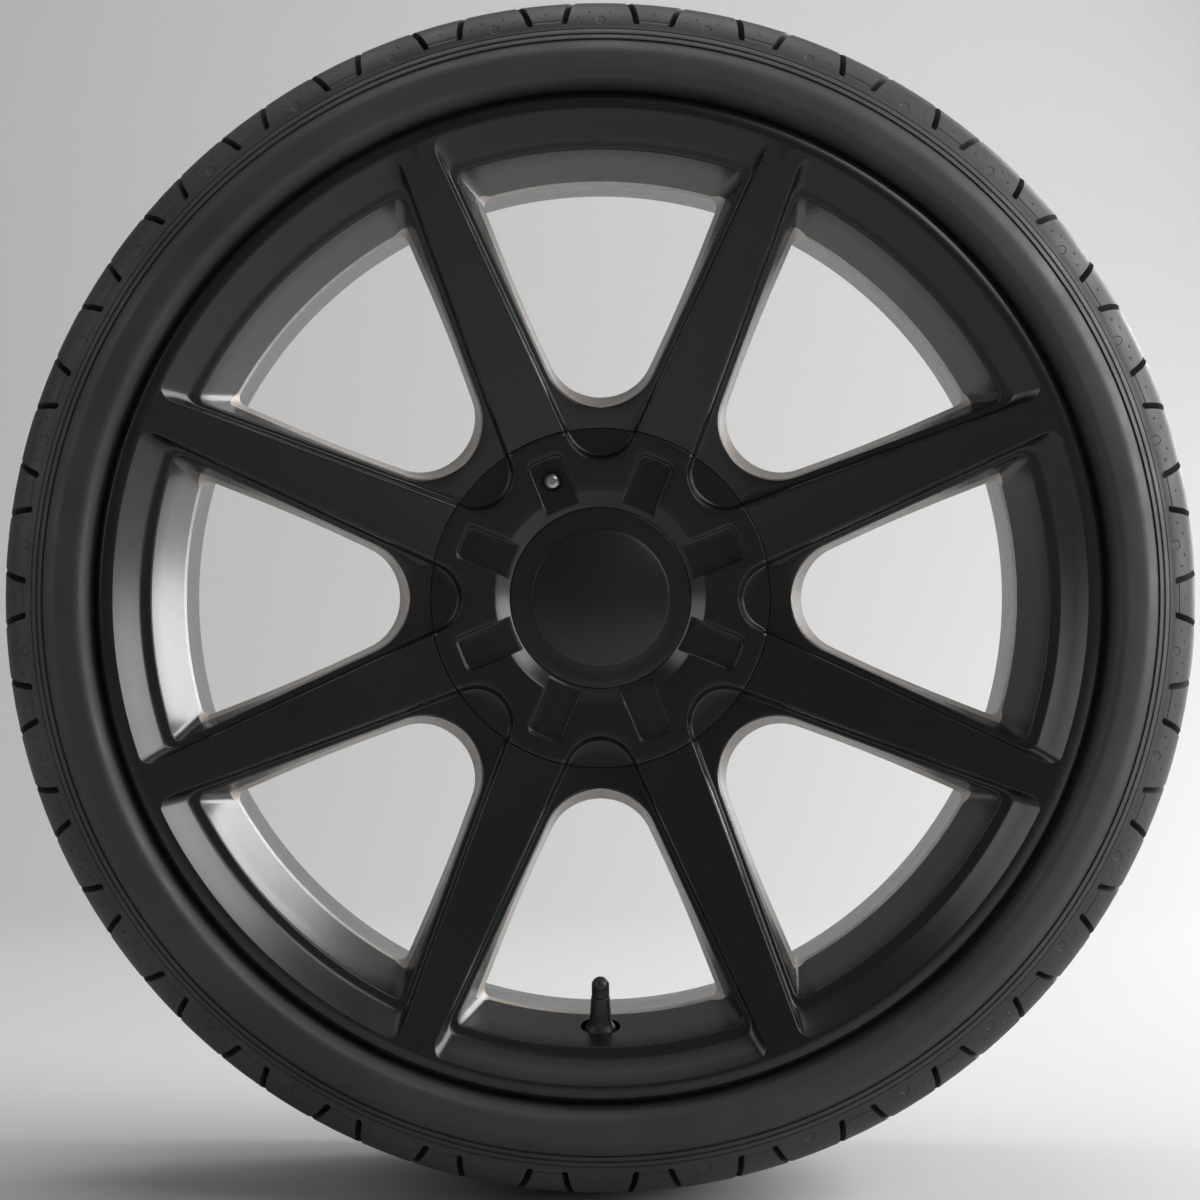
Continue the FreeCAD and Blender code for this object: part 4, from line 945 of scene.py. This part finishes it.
def metal(name, colour, rough, scratchScale, stretch):  # metal with stretched noise as fine tool marks
    s = metalSet
    material, tree, shader = newMaterial(name, {"Metallic": 1.0})
    place = addNode(tree, "ShaderNodeTexCoord").outputs["Object"]
    drawn = addNode(tree, "ShaderNodeMapping", {"Vector": place, "Scale": stretch}).outputs["Vector"]
    inputs = {"Vector": drawn, "Scale": scratchScale, "Detail": s["detail"]}
    marks = addNode(tree, "ShaderNodeTexNoise", inputs).outputs["Fac"]
    dark = tuple(s["shade"] * value for value in colour[:3]) + (1,)
    stain = tint(tree, ramp(tree, noiseOf(tree, s["stainScale"]), 0, 1), colour, dark)
    tree.links.new(stain, shader.inputs["Base Color"])
    low, high = s["rough"]
    tree.links.new(ramp(tree, marks, rough + low, rough + high), shader.inputs["Roughness"])
    bump(tree, shader, marks, s["strength"], s["depth"])
    return material


screwSteel = metal("screw_steel", colour=(0.55, 0.54, 0.52, 1), rough=0.28, scratchScale=900.0,
                   stretch=(1, 6, 1))
springSteel = metal("spring_steel", colour=(0.42, 0.42, 0.43, 1), rough=0.32, scratchScale=1500.0,
                    stretch=(1, 1, 1))
brass = metal("valve_brass", colour=(0.72, 0.52, 0.24, 1), rough=0.30, scratchScale=1200.0, stretch=(1, 5, 5))
valveRubber = rubber("valve_rubber", dark=(0.010, 0.010, 0.0105, 1), grey=(0.016, 0.016, 0.0165, 1),
                     roughLow=0.36, roughHigh=0.46)[0]
sealRubber = rubber("seal_rubber", dark=(0.012, 0.012, 0.012, 1), grey=(0.022, 0.021, 0.021, 1),
                    roughLow=0.5, roughHigh=0.6)[0]
dustPlastic = rubber("dust_cap_plastic", dark=(0.010, 0.010, 0.0105, 1), grey=(0.015, 0.015, 0.0155, 1),
                     roughLow=0.30, roughHigh=0.40)[0]
addPiece("valve_rubber_body", buildValveBody(), mainBody, ["valve_body"], valveRubber)
addPiece("valve_threaded_stem", buildStem(), mainBody, ["valve_stem"], brass)
addPiece("valve_dust_cap", buildDustCap(), "valve_cap", ["valve_cap"], dustPlastic)

nodeFinishes = {
    "cover_screw": screwSteel, "cap_spring_ring": springSteel, "valve_spring": springSteel,
    "valve_core": brass, "valve_pin": brass, "core_gasket": sealRubber, "cap_seal": sealRubber,
}
for nodeName, finish in nodeFinishes.items():  # the CAD shapes that are shown as they are
    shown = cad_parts[nodeName].data
    shown.materials.clear()
    shown.materials.append(finish)
print("finishes set on", len(nodeFinishes), "nodes")


stageSet = {
    "floor": (0.56, 0.56, 0.56, 1), "rough": 0.9, "half": 5.0, "near": -5.0, "far": 1.6,
    "bend": 1.0, "bendSteps": 24, "height": 4.0,
}


def buildStage():  # floor and backdrop in one sweep: a flat run, a quarter circle, then straight up
    s = stageSet
    low = cadBox[0][2]
    turns = np.linspace(0, math.pi / 2, s["bendSteps"])
    y = np.concatenate([[s["near"]], s["far"] + s["bend"] * np.sin(turns), [s["far"] + s["bend"]]])
    z = low + np.concatenate([[0], s["bend"] * (1 - np.cos(turns)), [s["height"]]])
    grid = np.stack([np.stack([np.full(len(y), side * s["half"]), y, z], -1) for side in (-1, 1)])
    mesh = bpy.data.meshes.new("studio_sweep")
    mesh.from_pydata(grid.reshape(-1, 3).tolist(), [], gridFaces(2, len(y), False)[:, ::-1].tolist())
    mesh.shade_smooth()
    sweep = bpy.data.objects.new("studio_sweep", mesh)
    bpy.context.scene.collection.objects.link(sweep)
    material, tree, shader = newMaterial("studio_paper", {"Base Color": s["floor"], "Roughness": s["rough"]})
    mesh.materials.append(material)


worldStrength = 0.16
lightSet = {  # soft boxes: middle, the point each one faces, width and height in metres, watts
    "right": {"place": (2.6, -0.45, 1.0), "aim": (0, 0, 0), "size": (1.7, 2.2), "watts": 102.0},
    "rear": {"place": (1.75, 1.75, 0.7), "aim": (0, 0, 0), "size": (1.1, 1.7), "watts": 46.0},
    "front": {"place": (1.5, -2.0, 1.7), "aim": (0, 0, 0), "size": (1.2, 1.0), "watts": 16.0},
    "left": {"place": (-1.9, -0.9, 0.7), "aim": (0, 0, 0), "size": (0.5, 1.5), "watts": 7.0},
    "top": {"place": (0.0, 0.1, 1.9), "aim": (0, 0.1, 0), "size": (1.8, 1.2), "watts": 18.0},
}


def buildLights():
    for name, s in lightSet.items():
        lamp = bpy.data.lights.new("lamp_" + name, "AREA")
        lamp.shape, lamp.energy = "RECTANGLE", s["watts"]
        lamp.size, lamp.size_y = s["size"]
        holder = bpy.data.objects.new("lamp_" + name, lamp)
        holder.location = s["place"]
        holder.rotation_euler = (Vector(s["aim"]) - holder.location).to_track_quat("-Z", "Y").to_euler()
        bpy.context.scene.collection.objects.link(holder)
    world = bpy.data.worlds.new("studio")
    world.use_nodes = True
    world.node_tree.nodes["Background"].inputs["Color"].default_value = (1, 1, 1, 1)
    world.node_tree.nodes["Background"].inputs["Strength"].default_value = worldStrength
    bpy.context.scene.world = world


cameraSet = {"distance": 1.8, "focal": 100.0, "sensor": 36.0, "axisPixel": (600.5, 598.0), "frame": 1200.0}


def buildCamera():  # on the axle's line, in front of the wheel's outer face
    s = cameraSet
    camera = bpy.data.cameras.new("photo_camera")
    camera.lens, camera.sensor_width = s["focal"], s["sensor"]
    camera.shift_x = -(s["axisPixel"][0] / s["frame"] - 0.5)
    camera.shift_y = s["axisPixel"][1] / s["frame"] - 0.5
    holder = bpy.data.objects.new("photo_camera", camera)
    holder.location = (0, faceY * mm - s["distance"], 0)
    holder.rotation_euler = (math.pi / 2, 0, 0)
    bpy.context.scene.collection.objects.link(holder)
    bpy.context.scene.camera = holder


buildStage()
buildLights()
buildCamera()
bpy.context.scene.view_settings.view_transform = "Standard"
print("scene ready")
